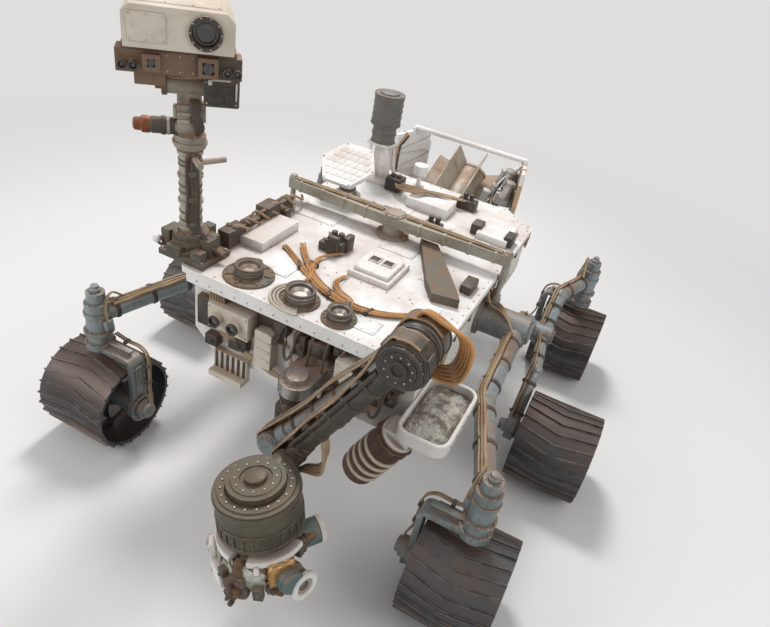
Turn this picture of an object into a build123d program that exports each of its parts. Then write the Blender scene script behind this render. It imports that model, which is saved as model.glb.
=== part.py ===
from build123d import *
from math import cos, radians, sin
import os

# A six-wheeled planetary rover. The front is -Y, the rover's left is +X, the ground is z = 0.
# Everything is in millimetres.

# Clearances
joint_gap = 0.3
running_gap = 14

# Wheels
wheel_radius = 250
wheel_width = 400
lug_height = 10
lug_width = 9
lug_count = 24
lug_sweep = 17
skin_thickness = 4
hoop_depth = 16
hoop_width = 9
spoke_count = 5
spoke_width = 56
spoke_thickness = 7
spoke_bow = 34
hub_radius = 62
hub_length = 150
hub_cap_radius = 44
hub_cap_depth = 8
drive_radius = 50
drive_clearance = 6

# Axle places
middle_axle_y = 128.8
axle_forward = 1050
axle_back = 1130
end_track = 1020
middle_track = 1200

# Steering drives
steer_top = 870
steer_shoulder = 812
steer_split = 640
steer_radius = 58
steer_cap_radius = 44
steer_flange_radius = 72
steer_flange = 12
roof_height = 545
bracket_thickness = 26
bracket_depth = 92
bracket_bend = 46
axle_disc_radius = 70
axle_disc = 34
rib_height = 20
rib_thickness = 16

# Chassis and deck
chassis_half = 580
chassis_floor_half = 470
chassis_front = middle_axle_y - 860
chassis_back = middle_axle_y + 840
chassis_floor = 660
chassis_knee = 760
chassis_top = 1090
deck_thickness = 30
deck_half = 620
deck_front = chassis_front - 60
deck_back = chassis_back + 40
deck_corner = 190
deck_top = chassis_top + deck_thickness

# Holes for the lifting and tie-down bolts
lift_spacing_x = 700
lift_spacing_y = 360
lift_centre_y = middle_axle_y - 300
lift_hole_radius = 5
lift_hole_depth = 26
tie_spacing_x = 600
tie_spacing_y = 1200
tie_hole_radius = 6
tie_hole_depth = 30
pan_thickness = 14

# Suspension
rocker_pivot_y = middle_axle_y + 50
rocker_pivot_z = 850
rocker_plane = 800
rocker_tube = 50
rocker_hub_radius = 85
rocker_flange_radius = 108
rocker_flange = 16
rocker_cap_radius = 60
knee_forward = 525
knee_drop = 60
knee_splay = 24
bogie_pivot_y = middle_axle_y + 565
bogie_pivot_z = 560
bogie_tube = 40
bogie_hub_radius = 64
middle_tube = 34
middle_disc = 50
fitting_rise = 7
collar_length = 46

# Differential bar
bar_z = 1215
bar_height = 56
bar_middle_depth = 104
bar_end_depth = 46
bar_reach = 660
bar_post_radius = 60
link_x = 642
link_radius = 15
link_ear_top = 975

# Mast
mast_x = -650
mast_y = middle_axle_y - 800
mast_foot_top = 1240
mast_tube_radius = 48
mast_band_radius = 55
mast_pan_z = 1640
head_pan_rest = 40
mast_band_heights = (1262, 1385, 1505, 1612)
twist_radius = 66
twist_height = 54
head_z = 1905
tilt_half = 85
tilt_radius = 48
cheek_thickness = 20
cheek_radius = 56
pan_motor_z = 1722
pan_motor_reach = 158
pan_motor_radius = 31
head_plate_z = 2050
head_shift = -30
laser_width = 385
laser_depth = 330
laser_height = 143
window_radius = 50
window_offset = 92
camera_bar_width = 450
camera_bar_height = 80
camera_bar_depth = 96
eye_offset = 100

# Arm
shoulder_x = 100
shoulder_y = middle_axle_y - 1020
shoulder_z = 620
shoulder_drum = 65
azimuth_radius = 60
azimuth_top = 820
azimuth_bottom = 552
upper_plane = middle_axle_y - 1150
upper_half = 50
forearm_plane = middle_axle_y - 1290
forearm_half = 46
turret_plane = middle_axle_y - 1508
elbow_x = 640
elbow_z = 1430
elbow_drum = 88
elbow_cap = 62
collar_gap = 6
wrist_x = 255
wrist_z = 740
upper_tube = 42
forearm_tube = 36
turret_tilt = 10
wrist_drum_radius = 164
wrist_cap_radius = 112
wrist_drum_above = 40
wrist_drum_below = 148
turret_radius = 88
turret_length = 240
tool_level = 150
drill_reach = 242
scope_reach = 240

# Power unit
power_radius = 118
power_cap = 40
fin_reach = 262
fin_count = 8
fin_thickness = 8
power_length = 447
power_tilt = 24
power_z = 880
power_gap = 145
exchanger_start = 110
exchanger_z = 1035
exchanger_width = 420
exchanger_height = 610
bridge_radius = 16
exchanger_thickness = 24
exchanger_x = 380
exchanger_toe = 12

# Tray at the front left corner and the striped barrel under it
tray_width = 230
tray_length = 430
tray_reach = 190
tray_floor = 830
tray_height = 60
tray_wall = 12
tray_corner = 60
barrel_x = 590
barrel_stand = 100
barrel_radius = 80
barrel_rim = 8
barrel_rims = 4
barrel_rim_step = 50
barrel_length = 350
barrel_tilt = 27
barrel_saddle = 110

# Dish
dish_x = -430
dish_y = middle_axle_y + 310
dish_base_top = 1152
dish_z = 1262
dish_across = 345
dish_thickness = 26
dish_rest_tilt = 28
dish_ear = 50

# Relay can
can_x = -415
can_y = middle_axle_y + 680
can_floor = 1370
can_neck_height = 105
can_neck_radius = 72
can_height = 185
can_radius = 88

front_axle_y = middle_axle_y - axle_forward
rear_axle_y = middle_axle_y + axle_back
# columns: corner, x, y, steered
wheel_table = (
    ("fl", end_track, front_axle_y, True),
    ("fr", -end_track, front_axle_y, True),
    ("ml", middle_track, middle_axle_y, False),
    ("mr", -middle_track, middle_axle_y, False),
    ("rl", end_track, rear_axle_y, True),
    ("rr", -end_track, rear_axle_y, True),
)
sides = (("left", 1), ("right", -1))


def strut(start, end, radius, mode=Mode.ADD):
    """A round bar from start to end."""
    run = Vector(*end) - Vector(*start)
    with BuildSketch(Plane(origin=start, z_dir=run)) as section:
        Circle(radius)
    extrude(section.sketch, amount=run.length, mode=mode)


def collar(start, end, radius, length):
    """A wider ring on the last stretch of the bar from start to end."""
    run = Vector(*end) - Vector(*start)
    strut(tuple(Vector(*end) - run.normalized() * length), end, radius)


def jointed_tube(points, radius, rise):
    """A tube along straight runs, with a round fitting wider by rise at each bend."""
    for start, end in zip(points, points[1:]):
        strut(start, end, radius)
    for bend in points[1:-1]:
        with Locations(bend):
            Sphere(radius + rise)


def block(centre, size, mode=Mode.ADD):
    """A box about its centre."""
    with Locations(centre):
        Box(*size, mode=mode)


def across(x_from, x_to, y, z, radius, mode=Mode.ADD):
    """A cylinder along X."""
    with Locations(Location(((x_from + x_to) / 2, y, z), (0, 90, 0))):
        Cylinder(radius, abs(x_to - x_from), mode=mode)


def fore_and_aft(x, y_from, y_to, z, radius, mode=Mode.ADD):
    """A cylinder along Y."""
    with Locations(Location((x, (y_from + y_to) / 2, z), (90, 0, 0))):
        Cylinder(radius, abs(y_to - y_from), mode=mode)


def upright(x, y, z_from, z_to, radius, mode=Mode.ADD):
    """A cylinder along Z."""
    with Locations((x, y, (z_from + z_to) / 2)):
        Cylinder(radius, abs(z_to - z_from), mode=mode)


def save(part, name):
    part.label = name
    export_step(part, f"parts/{name}.step")


os.makedirs("parts", exist_ok=True)

# Wheel about its own centre, outer face +X: a band with one flat per chevron lug, hoops, bowed spokes, hub
skin_outer = wheel_radius - lug_height
skin_inner = skin_outer - skin_thickness
lug_step = 360 / lug_count
with BuildPart() as wheel:
    with BuildSketch(Plane.YZ.offset(-wheel_width / 2)):
        RegularPolygon(skin_outer, lug_count, major_radius=False, rotation=lug_step / 2)
        RegularPolygon(skin_inner, lug_count, major_radius=False, rotation=lug_step / 2, mode=Mode.SUBTRACT)
    extrude(amount=wheel_width)
    for start in (-wheel_width / 2, -hoop_width / 2, wheel_width / 2 - hoop_width):
        with BuildSketch(Plane.YZ.offset(start)):
            RegularPolygon(skin_inner + 1, lug_count, major_radius=False, rotation=lug_step / 2)
            RegularPolygon(skin_inner - hoop_depth, lug_count, major_radius=False, rotation=lug_step / 2,
                           mode=Mode.SUBTRACT)
        extrude(amount=hoop_width)
    with BuildSketch(Plane.XY.offset(skin_inner + 1)) as lug_outline:
        with BuildLine():
            half = wheel_width / 2
            Polyline(
                (-half, -lug_sweep - lug_width / 2),
                (0, lug_sweep - lug_width / 2),
                (half, -lug_sweep - lug_width / 2),
                (half, -lug_sweep + lug_width / 2),
                (0, lug_sweep + lug_width / 2),
                (-half, -lug_sweep + lug_width / 2),
                close=True,
            )
        make_face()
    for number in range(lug_count):
        turned = lug_outline.sketch.rotate(Axis.X, number * lug_step)
        extrude(turned, amount=wheel_radius - skin_inner - 1)
    across(-hub_length / 2, hub_length / 2, 0, 0, hub_radius)
    across(hub_length / 2, hub_length / 2 + hub_cap_depth, 0, 0, hub_cap_radius)
    for number in range(spoke_count):
        turned = Plane.YZ.rotated((number * 360 / spoke_count, 0, 0)).offset(-spoke_width / 2)
        with BuildSketch(turned) as spoke:
            with BuildLine():
                bow = ThreePointArc(
                    (hub_radius - 6, 0), (hub_radius + 90, spoke_bow), (skin_inner - hoop_depth + 3, -spoke_thickness)
                )
                offset(bow, amount=spoke_thickness / 2, side=Side.BOTH)
            make_face()
        extrude(spoke.sketch, amount=spoke_width)
    across(-wheel_width / 2, 0, 0, 0, drive_radius + drive_clearance, mode=Mode.SUBTRACT)

for corner, x, y, steered in wheel_table:
    turn = 0 if x > 0 else 180
    save(Location((x, y, wheel_radius), (0, 0, turn)) * wheel.part, f"wheel_{corner}")

# Knuckle: the turning half of a steering drive, with a bracket over the wheel and down its inner side
bracket_inner = wheel_width / 2 + running_gap
bracket_outer = bracket_inner + bracket_thickness
roof_top = roof_height + bracket_thickness
for corner, x, y, steered in wheel_table:
    if not steered:
        continue
    inward = -1 if x > 0 else 1
    with BuildPart() as knuckle:
        with BuildSketch(Plane.XZ.offset(-y)) as bracket:
            Polygon(
                (x - inward * steer_radius, roof_top),
                (x + inward * bracket_outer, roof_top),
                (x + inward * bracket_outer, wheel_radius),
                (x + inward * bracket_inner, wheel_radius),
                (x + inward * bracket_inner, roof_height),
                (x - inward * steer_radius, roof_height),
                align=None,
            )
            roof_corners = bracket.vertices().group_by(Axis.Y)[-1].sort_by(Axis.X)
            fillet(roof_corners[0 if inward < 0 else -1], bracket_bend)
        extrude(bracket.sketch, amount=bracket_depth / 2, both=True)
        disc_inner = x + inward * bracket_inner
        across(disc_inner, disc_inner + inward * axle_disc, y, wheel_radius, axle_disc_radius)
        across(x + inward * joint_gap, disc_inner + inward * axle_disc / 2, y, wheel_radius, drive_radius)
        upright(x, y, roof_height + 6, roof_top + steer_flange, steer_flange_radius)
        upright(x, y, roof_height + 12, steer_split, steer_radius)
        rib_outer = bracket_inner - 20
        block((x + inward * rib_outer / 2, y, roof_top), (rib_outer, rib_thickness, 2 * rib_height))
    save(knuckle.part, f"knuckle_{corner}")

# Rockers and bogies
for name, sign in sides:
    with BuildPart() as rocker:
        hub_outer = rocker_plane + rocker_tube + fitting_rise
        across(sign * chassis_half, sign * hub_outer, rocker_pivot_y, rocker_pivot_z, rocker_hub_radius)
        across(sign * chassis_half, sign * (chassis_half + rocker_flange), rocker_pivot_y, rocker_pivot_z,
               rocker_flange_radius)
        across(sign * hub_outer, sign * (hub_outer + rocker_flange), rocker_pivot_y, rocker_pivot_z,
               rocker_cap_radius)
        ear_floor = rocker_pivot_z + rocker_hub_radius - 20
        block((sign * link_x, rocker_pivot_y, (ear_floor + link_ear_top) / 2), (44, 60, link_ear_top - ear_floor))
        pivot = (sign * rocker_plane, rocker_pivot_y, rocker_pivot_z)
        knee = (sign * (rocker_plane + knee_splay), middle_axle_y - knee_forward, rocker_pivot_z - knee_drop)
        front = (sign * end_track, front_axle_y, (steer_split + steer_shoulder) / 2 + steer_flange)
        jointed_tube([pivot, knee, front], rocker_tube - 2, fitting_rise)
        upright(front[0], front_axle_y, steer_split + joint_gap, steer_split + joint_gap + steer_flange,
                steer_flange_radius)
        upright(front[0], front_axle_y, steer_split + joint_gap, steer_shoulder, steer_radius)
        upright(front[0], front_axle_y, steer_shoulder, steer_top, steer_cap_radius)
        tail = (sign * rocker_plane, bogie_pivot_y, bogie_pivot_z)
        bend = (sign * rocker_plane, bogie_pivot_y - 170, bogie_pivot_z + 140)
        jointed_tube([pivot, bend, tail], rocker_tube - 2, fitting_rise)
        across(sign * (rocker_plane - rocker_tube - fitting_rise), sign * hub_outer, bogie_pivot_y, bogie_pivot_z,
               bogie_hub_radius)
    save(rocker.part, f"rocker_{name}")

    with BuildPart() as bogie:
        inner_face = rocker_plane + rocker_tube + fitting_rise + joint_gap
        bogie_plane = inner_face + bogie_tube + fitting_rise
        outer_face = bogie_plane + bogie_tube + fitting_rise
        across(sign * inner_face, sign * outer_face, bogie_pivot_y, bogie_pivot_z, bogie_hub_radius)
        across(sign * outer_face, sign * (outer_face + 12), bogie_pivot_y, bogie_pivot_z, bogie_hub_radius - 18)
        rear = (sign * end_track, rear_axle_y, (steer_split + steer_shoulder) / 2)
        pivot = (sign * bogie_plane, bogie_pivot_y, bogie_pivot_z)
        jointed_tube([pivot, (sign * bogie_plane, rear_axle_y - 330, rear[2]), rear], bogie_tube, fitting_rise)
        upright(rear[0], rear_axle_y, steer_split + joint_gap, steer_split + joint_gap + steer_flange,
                steer_flange_radius)
        upright(rear[0], rear_axle_y, steer_split + joint_gap, steer_shoulder, steer_radius)
        upright(rear[0], rear_axle_y, steer_shoulder, steer_top, steer_cap_radius)
        arm_plane = middle_track - bracket_inner - middle_tube
        jointed_tube([pivot, (sign * arm_plane, middle_axle_y + 270, bogie_pivot_z - 60),
                      (sign * arm_plane, middle_axle_y, wheel_radius)], middle_tube, fitting_rise)
        disc_outer = arm_plane + middle_disc / 2
        across(sign * (arm_plane - middle_disc / 2), sign * disc_outer, middle_axle_y, wheel_radius,
               axle_disc_radius)
        across(sign * disc_outer, sign * (middle_track - joint_gap), middle_axle_y, wheel_radius, drive_radius)
    save(bogie.part, f"bogie_{name}")

# Chassis box with a narrower floor, and the pan under it
with BuildPart() as chassis:
    with BuildSketch(Plane.XZ.offset(-chassis_back)):
        Polygon(
            (-chassis_half, chassis_top), (-chassis_half, chassis_knee), (-chassis_floor_half, chassis_floor),
            (chassis_floor_half, chassis_floor), (chassis_half, chassis_knee), (chassis_half, chassis_top),
            align=None,
        )
    extrude(amount=chassis_back - chassis_front)
    with BuildSketch(Plane.XZ.offset(-chassis_front)):
        with Locations((0, (chassis_knee + chassis_top) / 2 + 40)):
            with GridLocations(420, 0, 2, 1):
                RectangleRounded(300, 190, 24)
    extrude(amount=-10, mode=Mode.SUBTRACT)
save(chassis.part, "chassis")

with BuildPart() as belly_pan:
    with BuildSketch(Plane.XY.offset(chassis_floor - pan_thickness)) as pan_outline:
        with Locations((0, (chassis_front + chassis_back) / 2)):
            RectangleRounded(2 * chassis_floor_half - 60, chassis_back - chassis_front - 120, 60)
        with Locations((0, middle_axle_y)):
            with GridLocations(tie_spacing_x, tie_spacing_y, 2, 2):
                Circle(tie_hole_radius, mode=Mode.SUBTRACT)
    extrude(amount=pan_thickness)
save(belly_pan.part, "belly_pan")

# Deck plate with cut rear corners, a turned-down front lip and the lifting holes
with BuildPart() as deck:
    with BuildSketch(Plane.XY.offset(chassis_top)) as outline:
        Polygon(
            (-deck_half, deck_front), (deck_half, deck_front), (deck_half, deck_back - deck_corner),
            (deck_half - deck_corner, deck_back), (deck_corner - deck_half, deck_back),
            (-deck_half, deck_back - deck_corner),
            align=None,
        )
        fillet(outline.vertices().group_by(Axis.Y)[0], 30)
    extrude(amount=deck_thickness)
    block((0, deck_front + 6, chassis_top - 20), (2 * deck_half - 80, 12, 40))
    with Locations((0, lift_centre_y, deck_top)):
        with GridLocations(lift_spacing_x, lift_spacing_y, 2, 2):
            Hole(lift_hole_radius, depth=lift_hole_depth)
save(deck.part, "deck")

# Differential bar: tapered arms on a centre post, with end links down to the rockers
with BuildPart() as bar:
    with BuildSketch(Plane.XY.offset(bar_z - bar_height / 2)) as arms:
        Polygon(
            (-bar_reach, rocker_pivot_y - bar_end_depth / 2), (-bar_post_radius, rocker_pivot_y - bar_middle_depth / 2),
            (bar_post_radius, rocker_pivot_y - bar_middle_depth / 2), (bar_reach, rocker_pivot_y - bar_end_depth / 2),
            (bar_reach, rocker_pivot_y + bar_end_depth / 2), (bar_post_radius, rocker_pivot_y + bar_middle_depth / 2),
            (-bar_post_radius, rocker_pivot_y + bar_middle_depth / 2),
            (-bar_reach, rocker_pivot_y + bar_end_depth / 2),
            align=None,
        )
    extrude(arms.sketch, amount=bar_height)
    upright(0, rocker_pivot_y, deck_top, deck_top + 16, bar_post_radius + 30)
    upright(0, rocker_pivot_y, deck_top, bar_z - bar_height / 2, bar_post_radius)
    upright(0, rocker_pivot_y, bar_z + bar_height / 2, bar_z + bar_height / 2 + 14, bar_post_radius - 14)
    for sign in (-1, 1):
        upright(sign * link_x, rocker_pivot_y, link_ear_top, bar_z, link_radius)
        upright(sign * link_x, rocker_pivot_y, link_ear_top, link_ear_top + 30, link_radius + 7)
save(bar.part, "differential_bar")

# Sample inlets: three round funnels in a row at the front edge of the deck
# columns: x, y, radius, height
inlet_table = (
    (-330, deck_front + 130, 62, 54),
    (-40, deck_front + 105, 66, 60),
    (165, deck_front + 95, 52, 48),
)
with BuildPart() as inlets:
    for x, y, radius, height in inlet_table:
        upright(x, y, deck_top, deck_top + height, radius)
        with Locations((x, y, deck_top + height - 16)):
            Cone(radius - 34, radius - 8, 32, mode=Mode.SUBTRACT)
        block((x, y + radius + 6, deck_top + 15), (40, 26, 30))
save(inlets.part, "sample_inlets")

# Raised box with its lid, small boxes and brackets on the deck
# columns: x, y, width, depth, height
deck_box_table = (
    (120, middle_axle_y - 350, 220, 250, 26),
    (-170, middle_axle_y - 250, 90, 60, 70),
    (-480, middle_axle_y - 420, 150, 320, 48),
    (470, middle_axle_y - 590, 110, 100, 60),
    (470, middle_axle_y + 480, 180, 260, 40),
    (30, middle_axle_y + 520, 260, 160, 60),
)
with BuildPart() as deck_boxes:
    for x, y, width, depth, height in deck_box_table:
        block((x, y, deck_top + height / 2), (width, depth, height))
    lid = deck_box_table[0]
    block((lid[0], lid[1], deck_top + lid[4] + 9), (lid[2] - 40, lid[3] - 50, 18))
save(deck_boxes.part, "deck_boxes")

# Cable duct from the bar's foot to the front left of the deck, widening forwards
with BuildPart() as duct:
    with BuildSketch(Plane.XY.offset(deck_top)):
        Polygon(
            (170, rocker_pivot_y - 10), (270, rocker_pivot_y - 10), (520, middle_axle_y - 330),
            (560, middle_axle_y - 400), (430, middle_axle_y - 430), (360, middle_axle_y - 330),
            align=None,
        )
    extrude(amount=46)
save(duct.part, "cable_duct")

# Target disc on a short post at the deck's front left corner
with BuildPart() as target:
    upright(540, deck_front + 150, deck_top, deck_top + 60, 26)
    upright(540, deck_front + 150, deck_top + 60, deck_top + 72, 78)
    upright(540, deck_front + 150, deck_top + 72, deck_top + 84, 26)
save(target.part, "target_disc")

# Front face: hazard camera pairs, an electronics box with a dark slit, a side box
with BuildPart() as front_boxes:
    block((300, chassis_front - 45, 900), (130, 90, 220))
    block((-330, chassis_front - 40, 940), (220, 80, 130))
    block((-150, chassis_front - 30, 850), (90, 60, 200))
    for x in (-380, -280):
        fore_and_aft(x, chassis_front - 80, chassis_front - 112, 940, 27)
    block((300, chassis_front - 98, 860), (90, 16, 26))
    block((-345, chassis_front - 15, 640), (190, 30, 130))
    block((-345, chassis_front - 45, 590), (190, 60, 30))
save(front_boxes.part, "front_boxes")

# Tray beside the front left corner with a rim, and a striped barrel that leans out from under it
with BuildPart() as tray:
    tray_place = (chassis_half + tray_width / 2, chassis_front - tray_reach + tray_length / 2)
    with BuildSketch(Plane.XY.offset(tray_floor)):
        with Locations(tray_place):
            RectangleRounded(tray_width, tray_length, tray_corner)
    extrude(amount=tray_height)
    with BuildSketch(Plane.XY.offset(tray_floor + tray_height)):
        with Locations(tray_place):
            RectangleRounded(tray_width - 2 * tray_wall, tray_length - 2 * tray_wall, tray_corner - tray_wall)
    extrude(amount=tray_wall - tray_height, mode=Mode.SUBTRACT)
    barrel_lean = Vector(sin(radians(barrel_tilt)), 0, cos(radians(barrel_tilt)))
    barrel_top = Vector(barrel_x, chassis_front - barrel_stand, tray_floor - barrel_radius * barrel_lean.X)
    barrel_foot = barrel_top - barrel_lean * barrel_length
    strut(tuple(barrel_foot), tuple(barrel_top), barrel_radius)
    saddle_floor = barrel_top.Z - barrel_radius * barrel_lean.X
    block((barrel_x, chassis_front - barrel_stand, (saddle_floor + tray_floor) / 2),
          (barrel_saddle, barrel_saddle, tray_floor - saddle_floor))
    for step in range(barrel_rims):
        rim_foot = barrel_foot + barrel_lean * (barrel_rim_step * (step + 1))
        strut(tuple(rim_foot), tuple(rim_foot + barrel_lean * 2 * barrel_rim), barrel_radius + barrel_rim)
save(tray.part, "corner_tray")

# Mast foot, tube with bands, two booms
with BuildPart() as mast_foot:
    block((mast_x + 20, mast_y, deck_top + 14), (250, 200, 28))
    upright(mast_x, mast_y, deck_top + 28, mast_foot_top, 74)
    upright(mast_x, mast_y, deck_top + 28, deck_top + 46, 96)
    block((mast_x + 95, mast_y, deck_top + 70), (60, 60, 84))
save(mast_foot.part, "mast_foot")

with BuildPart() as mast_tube:
    upright(mast_x, mast_y, mast_foot_top, mast_pan_z, mast_tube_radius)
    for height in mast_band_heights:
        upright(mast_x, mast_y, height, height + 14, mast_band_radius)
    # columns: height, reach in x, reach in y
    for height, reach_x, reach_y in ((1610, 130, -90), (1560, 70, 150)):
        end = (mast_x + reach_x, mast_y + reach_y, height)
        strut((mast_x, mast_y, height), end, 13)
save(mast_tube.part, "mast_tube")

def panned(part):
    """A part of the head, turned about the mast to where the head looks at rest."""
    return Pos(mast_x, mast_y, 0) * Rot(0, 0, head_pan_rest) * Pos(-mast_x, -mast_y, 0) * part


# Neck: the turning drum on the tube, a stem and the tilt barrel across it
neck_floor = mast_pan_z + joint_gap
with BuildPart() as neck:
    upright(mast_x, mast_y, neck_floor, neck_floor + twist_height, twist_radius)
    block((mast_x, mast_y, (neck_floor + twist_height + head_z) / 2), (96, 62, head_z - neck_floor - twist_height))
    across(mast_x - pan_motor_reach, mast_x + 20, mast_y, pan_motor_z, pan_motor_radius)
    across(mast_x - tilt_half, mast_x + tilt_half, mast_y, head_z, tilt_radius)
save(panned(neck.part), "mast_neck")

# Head: two cheeks on the barrel, a plate, the laser box, the camera bar and its cameras
with BuildPart() as head_frame:
    for sign in (-1, 1):
        inner = mast_x + sign * (tilt_half + joint_gap)
        with BuildSketch(Plane.YZ.offset(min(inner, inner + sign * cheek_thickness))) as cheek:
            with Locations((mast_y, head_z)):
                Circle(cheek_radius)
            with Locations((mast_y, (head_z + head_plate_z) / 2)):
                Rectangle(2 * cheek_radius, head_plate_z - head_z)
        extrude(cheek.sketch, amount=cheek_thickness)
        barrel_end = inner + sign * cheek_thickness
        across(barrel_end, barrel_end + sign * 24, mast_y, head_z, 34)
    block((mast_x + head_shift, mast_y - 30, head_plate_z + 9), (410, 250, 18))
save(panned(head_frame.part), "head_frame")

laser_floor = head_plate_z + 18
head_x = mast_x + head_shift
with BuildPart() as laser_box:
    with BuildSketch(Plane.XZ.offset(-(mast_y + 130))) as laser_profile:
        with Locations((head_x, laser_floor + laser_height / 2)):
            Rectangle(laser_width, laser_height)
        chamfer(laser_profile.vertices().group_by(Axis.Y)[-1], 26)
    extrude(amount=laser_depth)
    laser_face = mast_y + 130 - laser_depth
    fore_and_aft(head_x + window_offset, laser_face, laser_face - 14, laser_floor + laser_height / 2,
                 window_radius + 10)
    fore_and_aft(head_x + window_offset, laser_face + 6, laser_face - 20, laser_floor + laser_height / 2,
                 window_radius, mode=Mode.SUBTRACT)
save(panned(laser_box.part), "laser_box")

bar_back = mast_y - cheek_radius - 6
bar_middle_y = bar_back - camera_bar_depth / 2
bar_middle_z = head_plate_z - camera_bar_height / 2
with BuildPart() as camera_bar:
    block((head_x, bar_middle_y, bar_middle_z), (camera_bar_width, camera_bar_depth, camera_bar_height))
    eye_face = bar_back - camera_bar_depth
    # columns: x offset, width, hood depth, bore
    for offset_x, width, hood, bore in ((-eye_offset, 60, 30, 28), (eye_offset, 72, 34, 42)):
        block((head_x + offset_x, eye_face - hood / 2, bar_middle_z + 4), (width, hood, width))
        block((head_x + offset_x, eye_face - hood / 2 - 4, bar_middle_z + 4), (bore, hood, bore), mode=Mode.SUBTRACT)
    for offset_x in (-200, -162, 170, 206):
        fore_and_aft(head_x + offset_x, eye_face, eye_face - 26, bar_middle_z - 8, 15)
    box_top = bar_middle_z - camera_bar_height / 2
    block((head_x + 150, bar_middle_y + 6, box_top - 54), (132, 84, 108))
    block((head_x - 110, bar_middle_y + 6, box_top - 24), (110, 70, 48))
save(panned(camera_bar.part), "camera_bar")

# Shoulder: bracket on the chassis, azimuth drum under it, lift drum in front
with BuildPart() as shoulder_bracket:
    block((shoulder_x, (chassis_front + shoulder_y) / 2, azimuth_top + 30), (150, chassis_front - shoulder_y, 60))
    upright(shoulder_x, shoulder_y, azimuth_top, azimuth_top + 60, 75)
    block((shoulder_x, chassis_front - 15, azimuth_top + 10), (230, 30, 170))
    upright(shoulder_x, shoulder_y, azimuth_top + 60, azimuth_top + 90, 48)
save(shoulder_bracket.part, "shoulder_bracket")

with BuildPart() as shoulder:
    upright(shoulder_x, shoulder_y, azimuth_bottom, azimuth_top - joint_gap, azimuth_radius)
    upright(shoulder_x, shoulder_y, azimuth_top - joint_gap - 22, azimuth_top - joint_gap, azimuth_radius + 12)
    fore_and_aft(shoulder_x, shoulder_y, upper_plane + upper_half + joint_gap, shoulder_z, shoulder_drum)
save(shoulder.part, "shoulder")

# Upper arm and forearm: drums at the joints, tubes with flared ends between them
arm_lean = Vector(elbow_x - shoulder_x, 0, elbow_z - shoulder_z).normalized()
with BuildPart() as upper_arm:
    low = (shoulder_x, upper_plane, shoulder_z)
    high = (elbow_x, upper_plane, elbow_z)
    fore_and_aft(shoulder_x, upper_plane + upper_half, upper_plane - upper_half, shoulder_z, shoulder_drum)
    fore_and_aft(shoulder_x, upper_plane - upper_half, upper_plane - upper_half - 16, shoulder_z, 46)
    fore_and_aft(elbow_x, upper_plane + upper_half, upper_plane - upper_half, elbow_z, elbow_drum)
    fore_and_aft(elbow_x, upper_plane + upper_half, upper_plane + upper_half + 40, elbow_z, 50)
    strut(low, high, upper_tube)
    collar(low, tuple(Vector(*high) - arm_lean * (elbow_drum + collar_gap)), upper_tube + 9, 60)
    collar(high, tuple(Vector(*low) + arm_lean * (shoulder_drum + collar_gap)), upper_tube + 9, 60)
save(upper_arm.part, "upper_arm")

fore_lean = Vector(elbow_x - wrist_x, 0, elbow_z - wrist_z).normalized()
forearm_back = upper_plane - upper_half - joint_gap
with BuildPart() as forearm:
    high = (elbow_x, forearm_plane, elbow_z)
    low = (wrist_x, forearm_plane, wrist_z)
    fore_and_aft(elbow_x, forearm_back, forearm_plane - forearm_half, elbow_z, elbow_drum)
    fore_and_aft(elbow_x, forearm_plane - forearm_half, forearm_plane - forearm_half - 14, elbow_z, elbow_cap)
    fore_and_aft(wrist_x, forearm_plane + forearm_half, forearm_plane - forearm_half, wrist_z, 54)
    strut(high, low, forearm_tube)
    collar(low, tuple(Vector(*high) - fore_lean * elbow_drum), forearm_tube + 8, 50)
    collar(high, tuple(Vector(*low) + fore_lean * 54), forearm_tube + 8, 50)
save(forearm.part, "forearm")

# Wrist: a cross drum at the forearm's end and the large turret drive hanging in front of it
turret_dir = Vector(sin(radians(turret_tilt)), 0, -cos(radians(turret_tilt)))
turret_side = Vector(cos(radians(turret_tilt)), 0, sin(radians(turret_tilt)))
wrist_point = Vector(wrist_x, turret_plane, wrist_z)
drum_bottom = wrist_point + turret_dir * wrist_drum_below
with BuildPart() as wrist:
    fore_and_aft(wrist_x, forearm_plane - forearm_half - joint_gap, turret_plane, wrist_z, 54)
    strut(tuple(wrist_point - turret_dir * wrist_drum_above), tuple(drum_bottom), wrist_drum_radius)
    strut(tuple(drum_bottom), tuple(drum_bottom + turret_dir * 16), wrist_cap_radius)
    strut(tuple(wrist_point - turret_dir * (wrist_drum_above + 34)),
          tuple(wrist_point - turret_dir * wrist_drum_above), wrist_cap_radius)
save(wrist.part, "wrist")

# Turret hub with its tools set around it
hub_top = drum_bottom + turret_dir * (16 + joint_gap)
tool_centre = hub_top + turret_dir * tool_level
forwards = Vector(0, -1, 0)


def tool_direction(angle):
    """A direction across the turret's axis, from straight ahead towards the rover's left."""
    return forwards * cos(radians(angle)) + turret_side * sin(radians(angle))


def tool_point(angle, reach, level):
    """A place beside the turret's axis, with level counted down the axis."""
    return tuple(tool_centre + tool_direction(angle) * reach + turret_dir * level)


with BuildPart() as turret:
    strut(tuple(hub_top), tuple(hub_top + turret_dir * 26), turret_radius + 18)
    strut(tuple(hub_top), tuple(hub_top + turret_dir * turret_length), turret_radius)
    for angle in (0, 72, 144, 216, 288):
        strut(tuple(tool_centre), tool_point(angle, turret_radius + 30, 0), 44)
save(turret.part, "turret_hub")

# Drill: a body with its bit along the reach and two contact prongs
with BuildPart() as drill:
    strut(tool_point(0, turret_radius + 30, 0), tool_point(0, drill_reach - 44, 0), 56)
    strut(tool_point(0, drill_reach - 60, 0), tool_point(0, drill_reach - 14, 0), 30)
    strut(tool_point(0, drill_reach - 30, 0), tool_point(0, drill_reach, 0), 9)
    for level in (-44, 44):
        strut(tool_point(0, turret_radius + 36, level), tool_point(0, drill_reach - 6, level), 8)
save(drill.part, "drill")

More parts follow.
